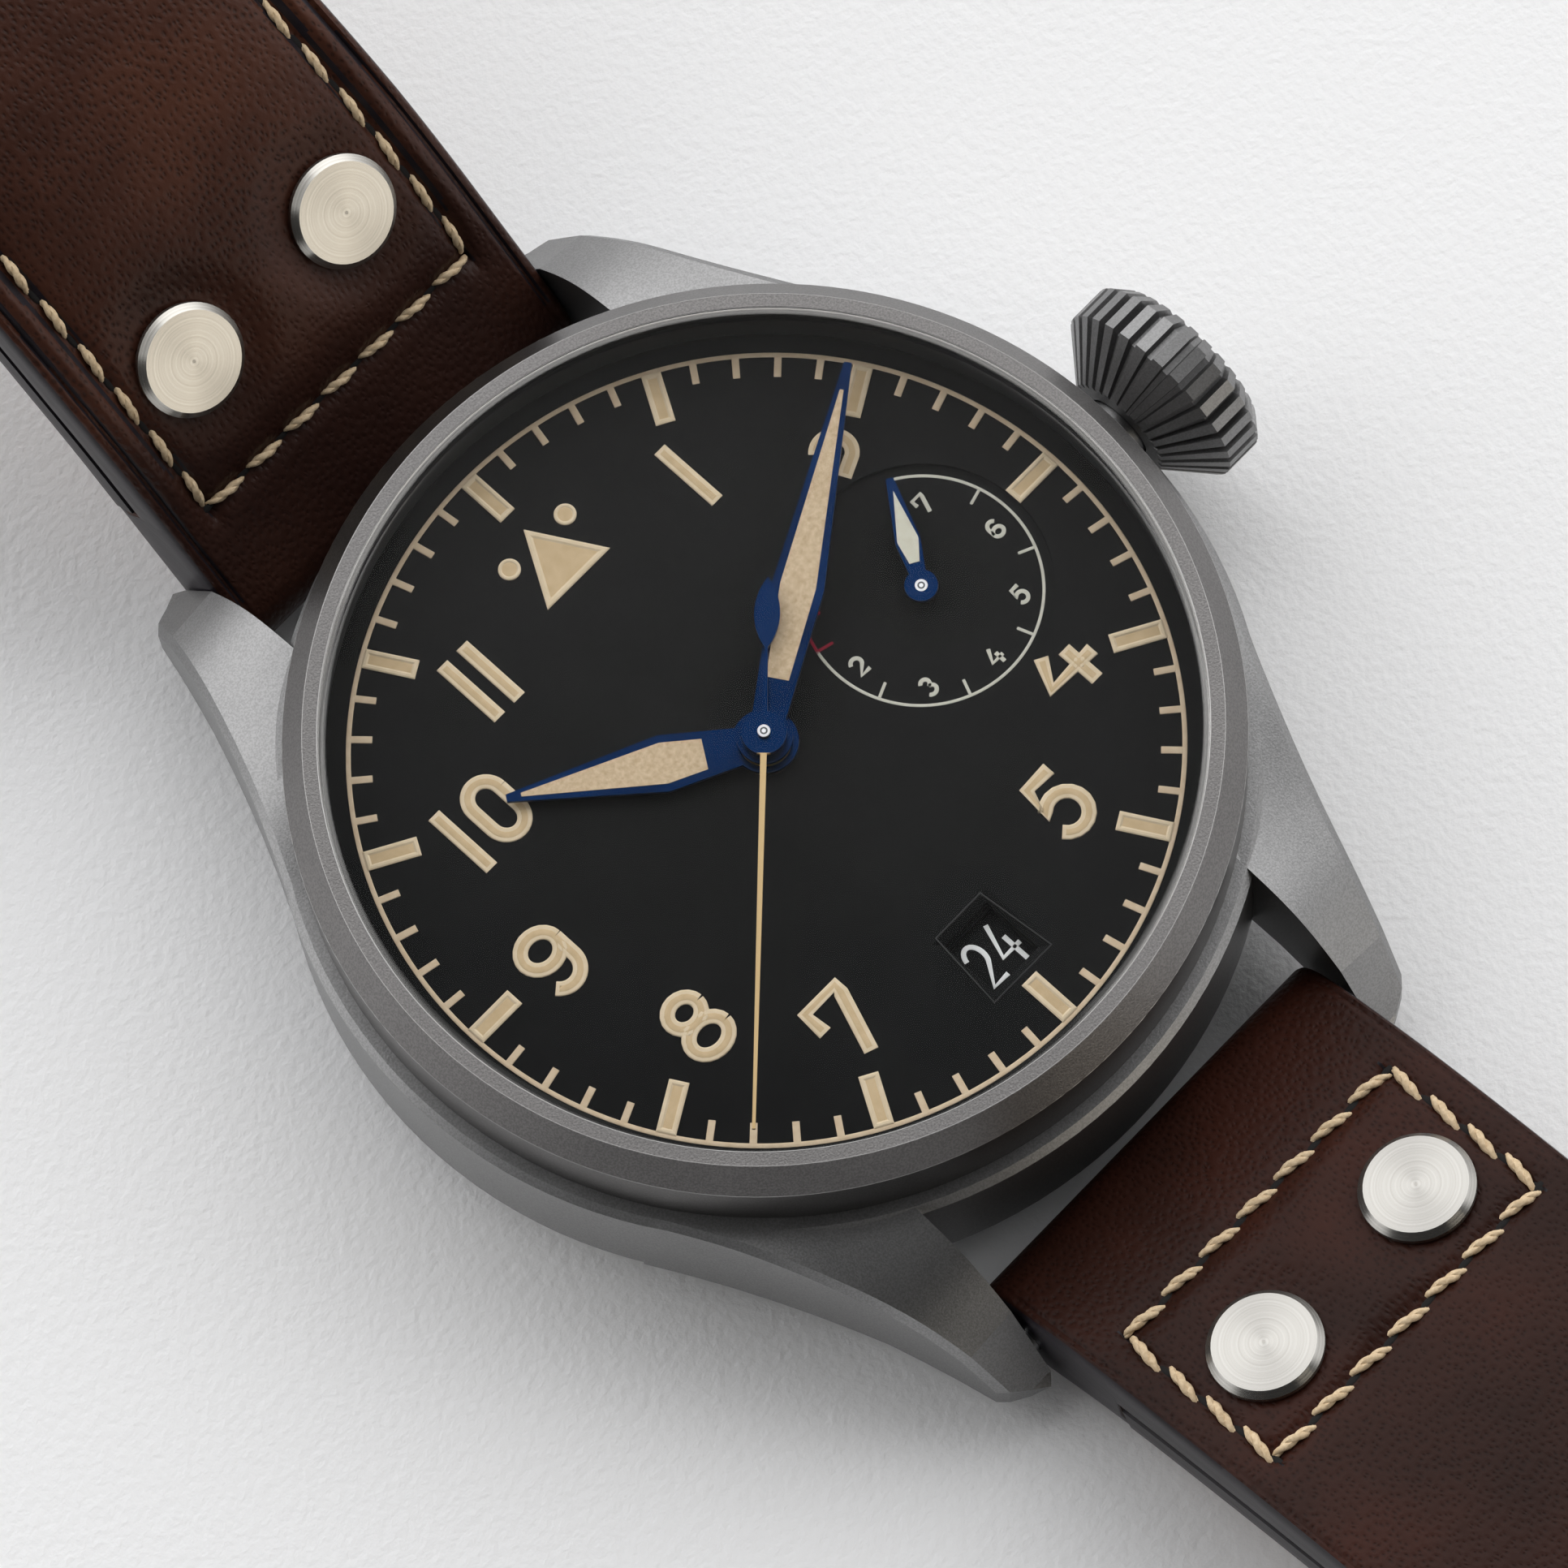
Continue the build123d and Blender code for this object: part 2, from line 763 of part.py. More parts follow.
def hand(low, hub, bore, length, wide_at, wide, neck, lume_start, lume_end, border=hand_border):
    """A lozenge hand with a framed opening; returns the hand and the lume that fills it."""
    high = low + hand_thickness
    blade = plate(lozenge(0, wide_at, length, neck, wide, hand_tip_width), low, high)
    slim = wide - 2 * border
    start_width = neck + (wide - neck) * lume_start / wide_at - 2 * border
    inside = lozenge(lume_start, wide_at, lume_end, start_width, slim, hand_tip_width / 2)
    frame = blade + disc(hub, low, high) - plate(inside, low - overrun, high + overrun)
    if bore:
        frame -= disc(bore, low - overrun, high + overrun)
    return frame, plate(inside, low, high + lume_proud)


def at_hour_angle(piece, angle, x=0):
    """Turn a piece that points to 12 o'clock clockwise by an angle, about a centre at x."""
    return Pos(x, 0, 0) * Rot(0, 0, -angle) * piece


def seconds_hand():
    """A needle with a leaf for counterweight, on a hub with a polished cap."""
    low, high = seconds_hand_low, seconds_hand_low + hand_thickness
    half = seconds_needle_width / 2
    needle = plate([(-half, 0), (-half / 2, seconds_hand_length), (half / 2, seconds_hand_length),
                    (half, 0)], low, high)
    stalk = plate([(-half, 0), (-half / 2, -seconds_leaf_start), (half / 2, -seconds_leaf_start),
                   (half, 0)], low, high)
    start, tip, wide = -seconds_leaf_start + half, -seconds_tail, seconds_leaf_width / 2
    middle = (start + tip) / 2
    leaf = make_face([ThreePointArc((0, start), (wide, middle), (0, tip)),
                      ThreePointArc((0, tip), (-wide, middle), (0, start))])
    leaf = Pos(0, 0, low) * extrude(leaf, hand_thickness)
    hub = disc(seconds_hub_diameter, low, high) + disc(seconds_cap_diameter, low, seconds_cap_high)
    return at_hour_angle(needle + stalk + leaf + hub, seconds_hand_at)


def power_reserve_hand():
    """The small hand of the reserve scale, on its own arbor."""
    body, inlay = hand(reserve_hand_low, reserve_hub_diameter, 0, reserve_hand_length,
                       reserve_hand_wide_at, reserve_hand_wide, reserve_hand_neck,
                       reserve_lume_start, reserve_lume_end, reserve_hand_border)
    high = reserve_hand_low + hand_thickness
    body = body + inlay + disc(reserve_arbor_diameter, reserve_arbor_low, high)
    return at_hour_angle(body, reserve_hand_at, subdial_x)


# Motion work and date

def cannon_pinion():
    """The pipe that carries the minute hand, with the pinion that drives the minute wheel."""
    body = wheel(cannon_teeth, motion_module, cannon_low, cannon_high, crest=tooth_tip_share)
    body += disc(cannon_pipe_outer, cannon_high, minute_hand_low + hand_thickness)
    return body - disc(cannon_pipe_inner, cannon_low - overrun, total_height)


def minute_wheel():
    """Wheel and pinion on one arbor, which sits on a post of the mainplate."""
    turn = meshed_turn(0, cannon_teeth, minute_wheel_teeth, minute_wheel_side)
    body = wheel(minute_wheel_teeth, motion_module, minute_wheel_low, minute_wheel_high, turn=turn,
                 crest=tooth_tip_share)
    body += wheel(minute_pinion_teeth, motion_module, minute_wheel_low, minute_pinion_high,
                  crest=tooth_tip_share)
    bore = disc(arbor_diameter + 2 * running_gap, minute_wheel_low - overrun, total_height)
    return Pos(*minute_place, 0) * (body - bore)


def hour_wheel():
    """The pipe over the cannon pinion that carries the hour hand."""
    turn = meshed_turn(0, minute_pinion_teeth, hour_wheel_teeth, minute_wheel_side + 180)
    body = wheel(hour_wheel_teeth, motion_module, hour_wheel_low, hour_wheel_high, turn=turn,
                 crest=tooth_tip_share)
    body += disc(hour_pipe_outer, hour_wheel_high, hour_hand_low + hand_thickness)
    return body - disc(hour_pipe_inner, hour_wheel_low - overrun, total_height)


def date_ring():
    """A flat ring with a tooth for each day on its inner edge."""
    face = Circle(date_outer / 2)
    pitch = 360 / date_teeth
    points = []
    for tooth in range(date_teeth):
        points.append(polar(date_inner / 2, tooth * pitch))
        points.append(polar(date_inner / 2 + date_tooth_depth, (tooth + 1 / 2) * pitch))
    face -= make_face(Polyline(*points, close=True))
    return Pos(0, 0, date_low) * extrude(face, date_high - date_low)


# Mainplate and bridges

def mainplate():
    """The plate that all arbors stand in, with the date ring's seat and the stem's channel."""
    body = disc(plate_diameter, plate_low, plate_high)
    body += ring(date_seat_outer, date_seat_inner, plate_high, date_low - date_seat_gap)
    body += disc(arbor_diameter, plate_high, minute_pinion_high, *minute_place)
    body -= disc(centre_pipe_outer + 2 * running_gap, plate_low - overrun, plate_high + overrun)
    half = keyless_width / 2
    body -= box_between((keyless_inner_x, -half, plate_low - overrun),
                        (keyless_outer_x, half, keyless_high))
    body -= rod(stem_diameter + 2 * running_gap, stem_inner_x - seat_gap, plate_diameter, 0, stem_height)
    body -= disc(reserve_arbor_diameter + 2 * running_gap, reserve_arbor_low - seat_gap,
                 plate_high + overrun, subdial_x)
    pivots = [(third_place, arbor_diameter), (escape_place, arbor_diameter),
              (pallet_place, arbor_diameter), (balance_place, arbor_diameter),
              (barrel_place, barrel_arbor_diameter)]
    for place, diameter in pivots:
        hole = diameter + 2 * running_gap
        body -= disc(hole, plate_low - overrun, plate_low + pivot_end + seat_gap, *place)
    return body


def bridge_blank(outline, angles):
    """A bridge cut from a round plate by a straight-sided outline, on pillars near its rim."""
    body = disc(bridge_diameter, bridge_low, bridge_high) & plate(outline, 0, total_height)
    for angle in angles:
        place = polar(pillar_circle / 2, angle)
        body += disc(pillar_diameter, bridge_high, plate_low, *place)
        body -= disc(screw_head_diameter + 2 * running_gap, bridge_low - overrun,
                     bridge_low + screw_head_height, *place)
    return body


def pivot_hole(place, diameter):
    """The cut for a pivot that enters a bridge from above."""
    return disc(diameter + 2 * running_gap, bridge_high - pivot_end - seat_gap, bridge_high + overrun, *place)


def barrel_bridge():
    """The bridge over the barrel, with the post on which the crown wheel turns."""
    x, y, far = barrel_bridge_x, barrel_bridge_y, case_radius
    body = bridge_blank([(x, y), (far, y), (far, far), (x, far)], barrel_pillars)
    body += disc(crown_wheel_post, bridge_high, winding_high + fitted_gap, crown_wheel_x)
    return body - pivot_hole(barrel_place, barrel_arbor_diameter)


def train_bridge():
    """The bridge over third, fourth and escape wheels, and the seat of the rotor's bearing."""
    x, y, far = train_bridge_x, train_bridge_y, -case_radius
    body = bridge_blank([(x, y), (far, y), (far, -far), (x, -far)], train_pillars)
    for place in ((0, 0), third_place, escape_place):
        body -= pivot_hole(place, arbor_diameter)
    return body


def balance_cock():
    """The arm that holds the balance's outer pivot, on a foot at the rim."""
    x = balance_place[0]
    left, right = x - cock_width / 2, x + cock_width / 2
    top, far = train_bridge_y - cock_gap, -case_radius
    body = bridge_blank([(left, top), (left, far), (right, far), (right, top)], cock_pillars)
    body -= pivot_hole(balance_place, arbor_diameter)
    return body - pivot_hole(pallet_place, arbor_diameter)


def bridge_screws():
    """One slotted screw in each pillar, its head sunk in the bridge."""
    screws = []
    low = bridge_low
    for angle in barrel_pillars + train_pillars + cock_pillars:
        x, y = polar(pillar_circle / 2, angle)
        head = disc(screw_head_diameter, low, low + screw_head_height, x, y)
        half = screw_slot_width / 2
        slot = box_between((x - screw_head_diameter, y - half, low - overrun),
                           (x + screw_head_diameter, y + half, low + screw_slot_depth))
        screws.append(head - slot)
    return Compound(children=screws)


# Going train and winding train

def arbor(place, low, high):
    """A plain arbor between its two pivots."""
    return disc(arbor_diameter, low, high, *place)


def barrel():
    """The drum that holds the mainspring, with its teeth on the mainplate side."""
    turn = meshed_turn(0, centre_pinion_teeth, barrel_teeth, barrel_side)
    body = disc(barrel_drum_diameter, barrel_low, barrel_teeth_low)
    body += wheel(barrel_teeth, barrel_module, barrel_teeth_low, barrel_high, turn=turn)
    body -= disc(barrel_arbor_diameter + 2 * running_gap, barrel_low - overrun, barrel_high + overrun)
    return Pos(*barrel_place, 0) * body


def barrel_arbor():
    """The arbor inside the barrel, which the ratchet wheel turns."""
    return disc(barrel_arbor_diameter, bridge_high - pivot_end, plate_low + pivot_end, *barrel_place)


def ratchet_wheel():
    """The wheel on the barrel arbor that winds the mainspring."""
    return wheel(ratchet_teeth, winding_module, winding_low, winding_high, barrel_place,
                 bore=barrel_arbor_diameter)


def crown_wheel():
    """The flat wheel that carries the winding from the pinion to the ratchet wheel."""
    dx, dy = crown_wheel_x - barrel_place[0], -barrel_place[1]
    side = degrees(atan2(dy, dx))
    turn = meshed_turn(0, ratchet_teeth, crown_wheel_teeth, side)
    return wheel(crown_wheel_teeth, winding_module, winding_low, winding_high, (crown_wheel_x, 0),
                 turn=turn, bore=crown_wheel_post + 2 * running_gap)


def centre_wheel():
    """Centre wheel and pinion on the pipe that carries the cannon pinion."""
    body = wheel(centre_wheel_teeth, train_module, centre_wheel_low, centre_wheel_high)
    body += wheel(centre_pinion_teeth, barrel_module, centre_pinion_low, centre_pinion_high,
                  crest=tooth_tip_share)
    body += disc(centre_pipe_outer, centre_pinion_low, centre_pipe_high)
    return body - disc(arbor_diameter + 2 * running_gap, centre_pinion_low - overrun, total_height)


def third_wheel():
    """Third wheel and pinion on one arbor."""
    pinion_turn = meshed_turn(0, centre_wheel_teeth, third_pinion_teeth, third_side)
    body = wheel(third_pinion_teeth, train_module, third_pinion_low, third_pinion_high, third_place,
                 pinion_turn, crest=tooth_tip_share)
    body += wheel(third_wheel_teeth, third_module, third_wheel_low, third_wheel_high, third_place)
    return body + arbor(third_place, bridge_high - pivot_end, plate_low + pivot_end)


def fourth_wheel():
    """Fourth wheel and pinion on the long arbor that carries the seconds hand."""
    pinion_turn = meshed_turn(0, third_wheel_teeth, fourth_pinion_teeth, third_side + 180)
    body = wheel(fourth_pinion_teeth, third_module, fourth_pinion_low, fourth_pinion_high,
                 turn=pinion_turn, crest=tooth_tip_share)
    body += wheel(fourth_wheel_teeth, escape_module, fourth_wheel_low, fourth_wheel_high)
    return body + arbor((0, 0), bridge_high - pivot_end, seconds_hand_low)


def escape_wheel():
    """Escape wheel with its hooked teeth, and its pinion."""
    pinion_turn = meshed_turn(0, fourth_wheel_teeth, escape_pinion_teeth, escape_side)
    body = wheel(escape_pinion_teeth, escape_module, escape_pinion_low, escape_pinion_high,
                 escape_place, pinion_turn, crest=tooth_tip_share)
    pitch = 360 / escape_wheel_teeth
    root_share, lean_share = 0.74, 0.3
    points = []
    for tooth in range(escape_wheel_teeth):
        points.append(polar(escape_wheel_diameter / 2 * root_share, tooth * pitch))
        points.append(polar(escape_wheel_diameter / 2, (tooth + lean_share) * pitch))
        points.append(polar(escape_wheel_diameter / 2 * root_share, (tooth + lean_share) * pitch))
    body += Pos(*escape_place, 0) * plate(points, escape_wheel_low, escape_wheel_high)
    return body + arbor(escape_place, bridge_high - pivot_end, plate_low + pivot_end)


def pallet_fork():
    """The anchor that locks the escape wheel, and the lever that reaches the roller."""
    half = pallet_width / 2
    reach = balance_from_escape - pallet_from_escape - roller_diameter
    arm = escape_wheel_diameter / 2 + seat_gap
    lever = box_between((0, -half, pallet_low), (reach, half, pallet_high))
    beam_x = -(pallet_from_escape - arm) / 2
    beam = box_between((beam_x - half, -arm, pallet_low), (beam_x + half, arm, pallet_high))
    stones = [box_between((-pallet_from_escape / 2 - half, side * arm - half, pallet_low),
                          (beam_x, side * arm + half, pallet_high)) for side in (-1, 1)]
    body = lever + beam + box_between((beam_x, -half, pallet_low), (0, half, pallet_high))
    for stone in stones:
        body += stone
    body = Pos(*pallet_place, 0) * Rot(0, 0, pallet_side) * body
    return body + arbor(pallet_place, bridge_high - pivot_end, plate_low + pivot_end)


def balance_wheel():
    """A rim on two arms, with the staff and the roller that the fork drives."""
    body = ring(balance_diameter, balance_diameter - 2 * balance_rim, balance_low, balance_high)
    reach = (balance_diameter - balance_rim) / 2
    body += box_between((-reach, -balance_rim / 2, balance_low), (reach, balance_rim / 2, balance_high))
    body += disc(roller_diameter, balance_low, roller_high)
    body += disc(arbor_diameter, bridge_high - pivot_end, staff_high)
    body += disc(arbor_diameter, staff_high, plate_low + pivot_end)
    return Pos(*balance_place, 0) * body


def spiral(extra):
    """Points of the hairspring's centre line, moved outwards by a little."""
    steps = hairspring_turns * hairspring_steps
    points = []
    for step in range(steps + 1):
        turns = step / hairspring_steps
        radius = hairspring_start + extra + turns * hairspring_pitch
        points.append(polar(radius, turns * 360))
    return points


def hairspring():
    """A flat spiral whose inner coil starts on its collet."""
    strip = plate(spiral(0) + spiral(hairspring_strip)[::-1], hairspring_low, hairspring_high)
    collet = ring(2 * (hairspring_start + hairspring_strip), arbor_diameter + 2 * fitted_gap,
                  hairspring_low, hairspring_high)
    return Pos(*balance_place, 0) * (strip + collet)


def rotor():
    """A half-round winding mass: a thin plate with a heavy rim."""
    body = disc(rotor_diameter, rotor_plate_low, rotor_plate_high)
    body += ring(rotor_diameter, rotor_rim_inner, rotor_rim_low, rotor_rim_high)
    far = case_radius
    body -= box_between((-far, 0, 0), (far, far, total_height))
    body += disc(rotor_hub_diameter, rotor_plate_low, rotor_plate_high)
    window = make_face([
        Line(polar(rotor_window_inner / 2, 270 - rotor_window_half),
             polar(rotor_window_outer / 2, 270 - rotor_window_half)),
        ThreePointArc(polar(rotor_window_outer / 2, 270 - rotor_window_half),
                      polar(rotor_window_outer / 2, 270),
                      polar(rotor_window_outer / 2, 270 + rotor_window_half)),
        Line(polar(rotor_window_outer / 2, 270 + rotor_window_half),
             polar(rotor_window_inner / 2, 270 + rotor_window_half)),
        ThreePointArc(polar(rotor_window_inner / 2, 270 + rotor_window_half),
                      polar(rotor_window_inner / 2, 270),
                      polar(rotor_window_inner / 2, 270 - rotor_window_half)),
    ])
    window = extrude(window, total_height)
    for turn in rotor_window_turns:
        body -= Rot(0, 0, turn) * window
    return body - disc(bearing_diameter + 2 * running_gap, 0, total_height)


# Strap

class StrapPath:
    """The centre line of one strap half in the side view: arcs one after another.

    Each leg is (length, radius); a radius of 0 is straight. Distances run outwards from the
    spring bar, and side is +1 for the 12 o'clock half and -1 for the other."""

    def __init__(self, side, angle, legs, start_thickness, end_thickness):
        self.side, self.angle, self.legs = side, angle, legs
        self.length = sum(length for length, _ in legs)
        self.start_thickness, self.end_thickness = start_thickness, end_thickness

    def thickness(self, along):
        """The strap's thickness at a distance from the spring bar."""
        share = along / self.length
        return self.start_thickness + (self.end_thickness - self.start_thickness) * share

    def top(self, along):
        """The strap's face, as a height off its centre line."""
        return self.thickness(along) / 2

    def under(self, along):
        """The strap's underside, as a height off its centre line."""
        return -self.thickness(along) / 2

    def seam(self, along):
        """Where the outer leather meets the lining, as a height off the centre line."""
        return lining_thickness - self.thickness(along) / 2

    def frame(self, along):
        """Position outwards, height and slope in degrees at a distance from the spring bar."""
        out, up, angle = bar_y, bar_z, radians(self.angle)
        for length, radius in self.legs:
            step = min(along, length)
            if radius:
                turned_by = step / radius
                out += radius * (sin(angle) - sin(angle - turned_by))
                up += radius * (cos(angle - turned_by) - cos(angle))
                angle -= turned_by
            else:
                out += step * cos(angle)
                up += step * sin(angle)
            along -= step
            if along <= 0:
                break
        return out, up, degrees(angle)

    def point(self, along, above):
        """A side-view point (y, z) at a height above the centre line."""
        out, up, angle = self.frame(along)
        turn = radians(angle)
        return self.side * (out - above * sin(turn)), up + above * cos(turn)

    def beyond(self, along, distance):
        """A side-view point on the centre line's tangent, past one of its ends."""
        out, up, angle = self.frame(along)
        turn = radians(angle)
        return self.side * (out + distance * cos(turn)), up + distance * sin(turn)

    def plane(self, along):
        """A plane across the strap: X across, Y outwards along it and Z off its face."""
        y, z = self.point(along, 0)
        turn = radians(self.frame(along)[2])
        normal = (0, -self.side * sin(turn), cos(turn))
        return Plane(origin=(0, y, z), x_dir=(self.side, 0, 0), z_dir=normal)

    def curve(self, start, end, above_at):
        """Lines and arcs from start to end at a height that above_at gives, one for each leg."""
        edges = []
        leg_start = 0
        for length, radius in self.legs:
            a, b = max(start, leg_start), min(end, leg_start + length)
            leg_start += length
            if a >= b:
                continue
            first, middle, last = [self.point(s, above_at(s)) for s in (a, (a + b) / 2, b)]
            edges.append(ThreePointArc(first, middle, last) if radius else Line(first, last))
        return edges


short_path = StrapPath(1, short_angle, [(short_lead, 0), (short_length - short_lead, short_radius)],
                       strap_thickness, short_end_thickness)
long_path = StrapPath(-1, long_angle,
                      [(long_bend_length, long_bend_radius), (long_length - long_bend_length, long_radius)],
                      strap_thickness, long_tip_thickness)


def strap_sheet(path, start, end, top_at, under_at, folds=()):
    """A closed side view between two distances, with a round fold at the ends that are named."""
    top = path.curve(start, end, top_at)
    under = path.curve(start, end, under_at)
    ends = []
    for along in (start, end):
        high, low = path.point(along, top_at(along)), path.point(along, under_at(along))
        if along in folds:
            middle = path.beyond(along, top_at(along) * (1 if along else -1))
            ends.append(ThreePointArc(high, middle, low))
        else:
            ends.append(Line(high, low))
    return make_face(top + under + ends)


def strap_top(path, folded_end):
    """The outer leather: folded round the spring bar, and round the buckle bar if it has one."""
    folds = (0, path.length) if folded_end else (0,)
    whole = strap_sheet(path, 0, path.length, path.top, path.under, folds)
    return side_solid(whole) - side_solid(lining_sheet(path, folded_end, -overrun))


def lining_sheet(path, folded_end, extra=0):
    """The inner leather's side view, which ends before each fold."""
    def under(along):
        return path.under(along) + extra

    last = path.length - lining_start if folded_end else path.length
    return strap_sheet(path, lining_start, last, path.seam, under)


def side_solid(face):
    """A side view as a solid as wide as the strap."""
    return extrude(Plane.YZ * face, strap_width / 2, both=True)


def tapered(solid, outline):
    """Trim a strap half to its plan outline."""
    return solid & plate(outline, -overrun, case_diameter)


def short_plan():
    """The 12 o'clock half narrows evenly to the buckle."""
    start = short_path.point(short_taper_start, 0)[0]
    end = short_path.point(short_length, 0)[0]
    wide, narrow = strap_width / 2, strap_end_width / 2
    near, far = case_radius, end + short_end_thickness
    return [(-wide, near), (-wide, start), (-narrow, end), (-narrow, far),
            (narrow, far), (narrow, end), (wide, start), (wide, near)]


def long_plan():
    """The 6 o'clock half narrows evenly and ends in a blunt point."""
    end = long_path.point(long_length, 0)[0]
    start, point = -case_radius, long_path.point(long_length - long_point_length, 0)[0]
    wide, narrow, tip = long_width / 2, strap_end_width / 2, long_point_width / 2
    knee = (point + end) / 2
    shoulder = (narrow + tip) * long_shoulder_share
    return [(-wide, start), (-narrow, point), (-shoulder, knee), (-tip, end), (tip, end),
            (shoulder, knee), (narrow, point), (wide, start)]


def across(path, along, diameter, low, high, x=0):
    """A cylinder square to the strap's face, between two heights off its centre line."""
    return path.plane(along) * Pos(x, 0, low) * extrude(Circle(diameter / 2), high - low)


def bar_bore(diameter, y, z):
    """The hole for a cross bar, through the strap's whole width."""
    return rod(diameter + 2 * running_gap, -strap_width, strap_width, y, z)


def strap_cuts(path, rivet_at):
    """What both halves lose: the spring bar's bore and the rivets' shank holes."""
    cut = bar_bore(bar_diameter, path.side * bar_y, bar_z)
    reach = path.thickness(rivet_at)
    for side in (-1, 1):
        cut += across(path, rivet_at, rivet_shank + 2 * fitted_gap, -reach, reach, side * rivet_spacing / 2)
        cut += across(path, rivet_at, rivet_washer + 2 * fitted_gap, -reach,
                      rivet_washer_thickness - reach / 2, side * rivet_spacing / 2)
    return cut


def short_cuts():
    """The 12 o'clock half also has the buckle bar's bore and the tongue's notch."""
    y, z = short_path.point(short_length, 0)
    notch = box_between((-tongue_notch / 2, -tongue_notch_depth, -strap_thickness),
                        (tongue_notch / 2, strap_thickness, strap_thickness))
    return (strap_cuts(short_path, short_rivet_at) + bar_bore(buckle_bar_diameter, y, z)
            + short_path.plane(short_length) * notch)


def long_cuts():
    """The 6 o'clock half also has a row of punched holes."""
    cut = strap_cuts(long_path, long_rivet_at)
    for hole in range(hole_count):
        cut += across(long_path, long_length - hole_first - hole * hole_pitch, hole_diameter,
                      -strap_thickness, strap_thickness)
    return cut


def rivets(path, rivet_at):
    """A pair of flat-headed rivets with bevelled edges and washers under the strap."""
    pieces = []
    top = path.thickness(rivet_at) / 2 + rivet_seat_gap
    for side in (-1, 1):
        radius = rivet_diameter / 2
        head = turned([(0, top), (radius, top), (radius, top + rivet_head - rivet_bevel),
                       (radius - rivet_bevel, top + rivet_head), (0, top + rivet_head)])
        low = -path.thickness(rivet_at) / 2
        shank = disc(rivet_shank, low, top)
        washer = disc(rivet_washer, low, low + rivet_washer_thickness - seat_gap)
        pieces.append(path.plane(rivet_at) * Pos(side * rivet_spacing / 2, 0, 0) * (head + shank + washer))
    return Compound(children=pieces)


def spring_bars():
    """Two bars with thinner sprung tips that sit in the lugs."""
    bars = []
    for side in (-1, 1):
        reach = lug_gap / 2
        body = rod(bar_diameter, -reach + seat_gap, reach - seat_gap, side * bar_y, bar_z)
        tips = rod(bar_tip_diameter, -reach - bar_tip_reach, reach + bar_tip_reach, side * bar_y, bar_z)
        bars.append(body + tips)
    return Compound(children=bars)


# Buckle and loops: made flat, then placed at the strap's end

def on_short(along, solid):
    """Place a solid made flat about the origin on the 12 o'clock half."""
    return short_path.plane(along) * solid


def buckle_frame():
    """A U-shaped frame with round outer corners and a groove for the tongue."""
    half, outer = buckle_inner_width / 2, buckle_inner_width / 2 + buckle_arm
    high = buckle_thickness / 2
    body = box_between((-outer, -high, -high), (outer, buckle_reach, high))
    corners = body.edges().filter_by(Axis.Z).group_by(Axis.Y)[-1]
    body = fillet(corners, buckle_round)
    body -= box_between((-half, -overrun - high, -high - overrun),
                        (half, buckle_reach - buckle_front, high + overrun))
    groove = buckle_groove_width / 2
    body -= box_between((-groove, buckle_reach - buckle_front - overrun, high - buckle_groove_depth),
                        (groove, buckle_reach + overrun, high + overrun))
    reach = half + buckle_bar_reach
    body -= rod(buckle_bar_diameter + 2 * fitted_gap, -reach - fitted_gap, reach + fitted_gap)
    return on_short(short_length, body)


def buckle_bar():
    """The plain bar that the strap folds round."""
    reach = buckle_inner_width / 2 + buckle_bar_reach
    return on_short(short_length, rod(buckle_bar_diameter, -reach, reach))


def buckle_tongue():
    """A pin with an eye round the bar, which rests in the frame's groove."""
    half = tongue_width / 2
    eye = rod(tongue_ring, -half, half)
    low = buckle_thickness / 2 - buckle_groove_depth + seat_gap
    slim = tongue_pin_width / 2
    pin = box_between((-slim, 0, low), (slim, tongue_length, low + tongue_pin_thickness))
    body = eye + pin - rod(buckle_bar_diameter + 2 * running_gap, -half - overrun, half + overrun)
    return on_short(short_length, body)


def loop(back):
    """A leather loop round the strap, tall enough for the other half to pass."""
    along = short_length - back
    half = short_path.thickness(along) / 2
    inner = strap_width / 2 + loop_side_gap
    low, high = -half - loop_under_gap, half + loop_headroom
    block = box_between((-inner - loop_wall, -loop_length / 2, low - loop_wall),
                        (inner + loop_wall, loop_length / 2, high + loop_wall))
    hole = box_between((-inner, -loop_length, low), (inner, loop_length, high))
    return on_short(along, block - hole)


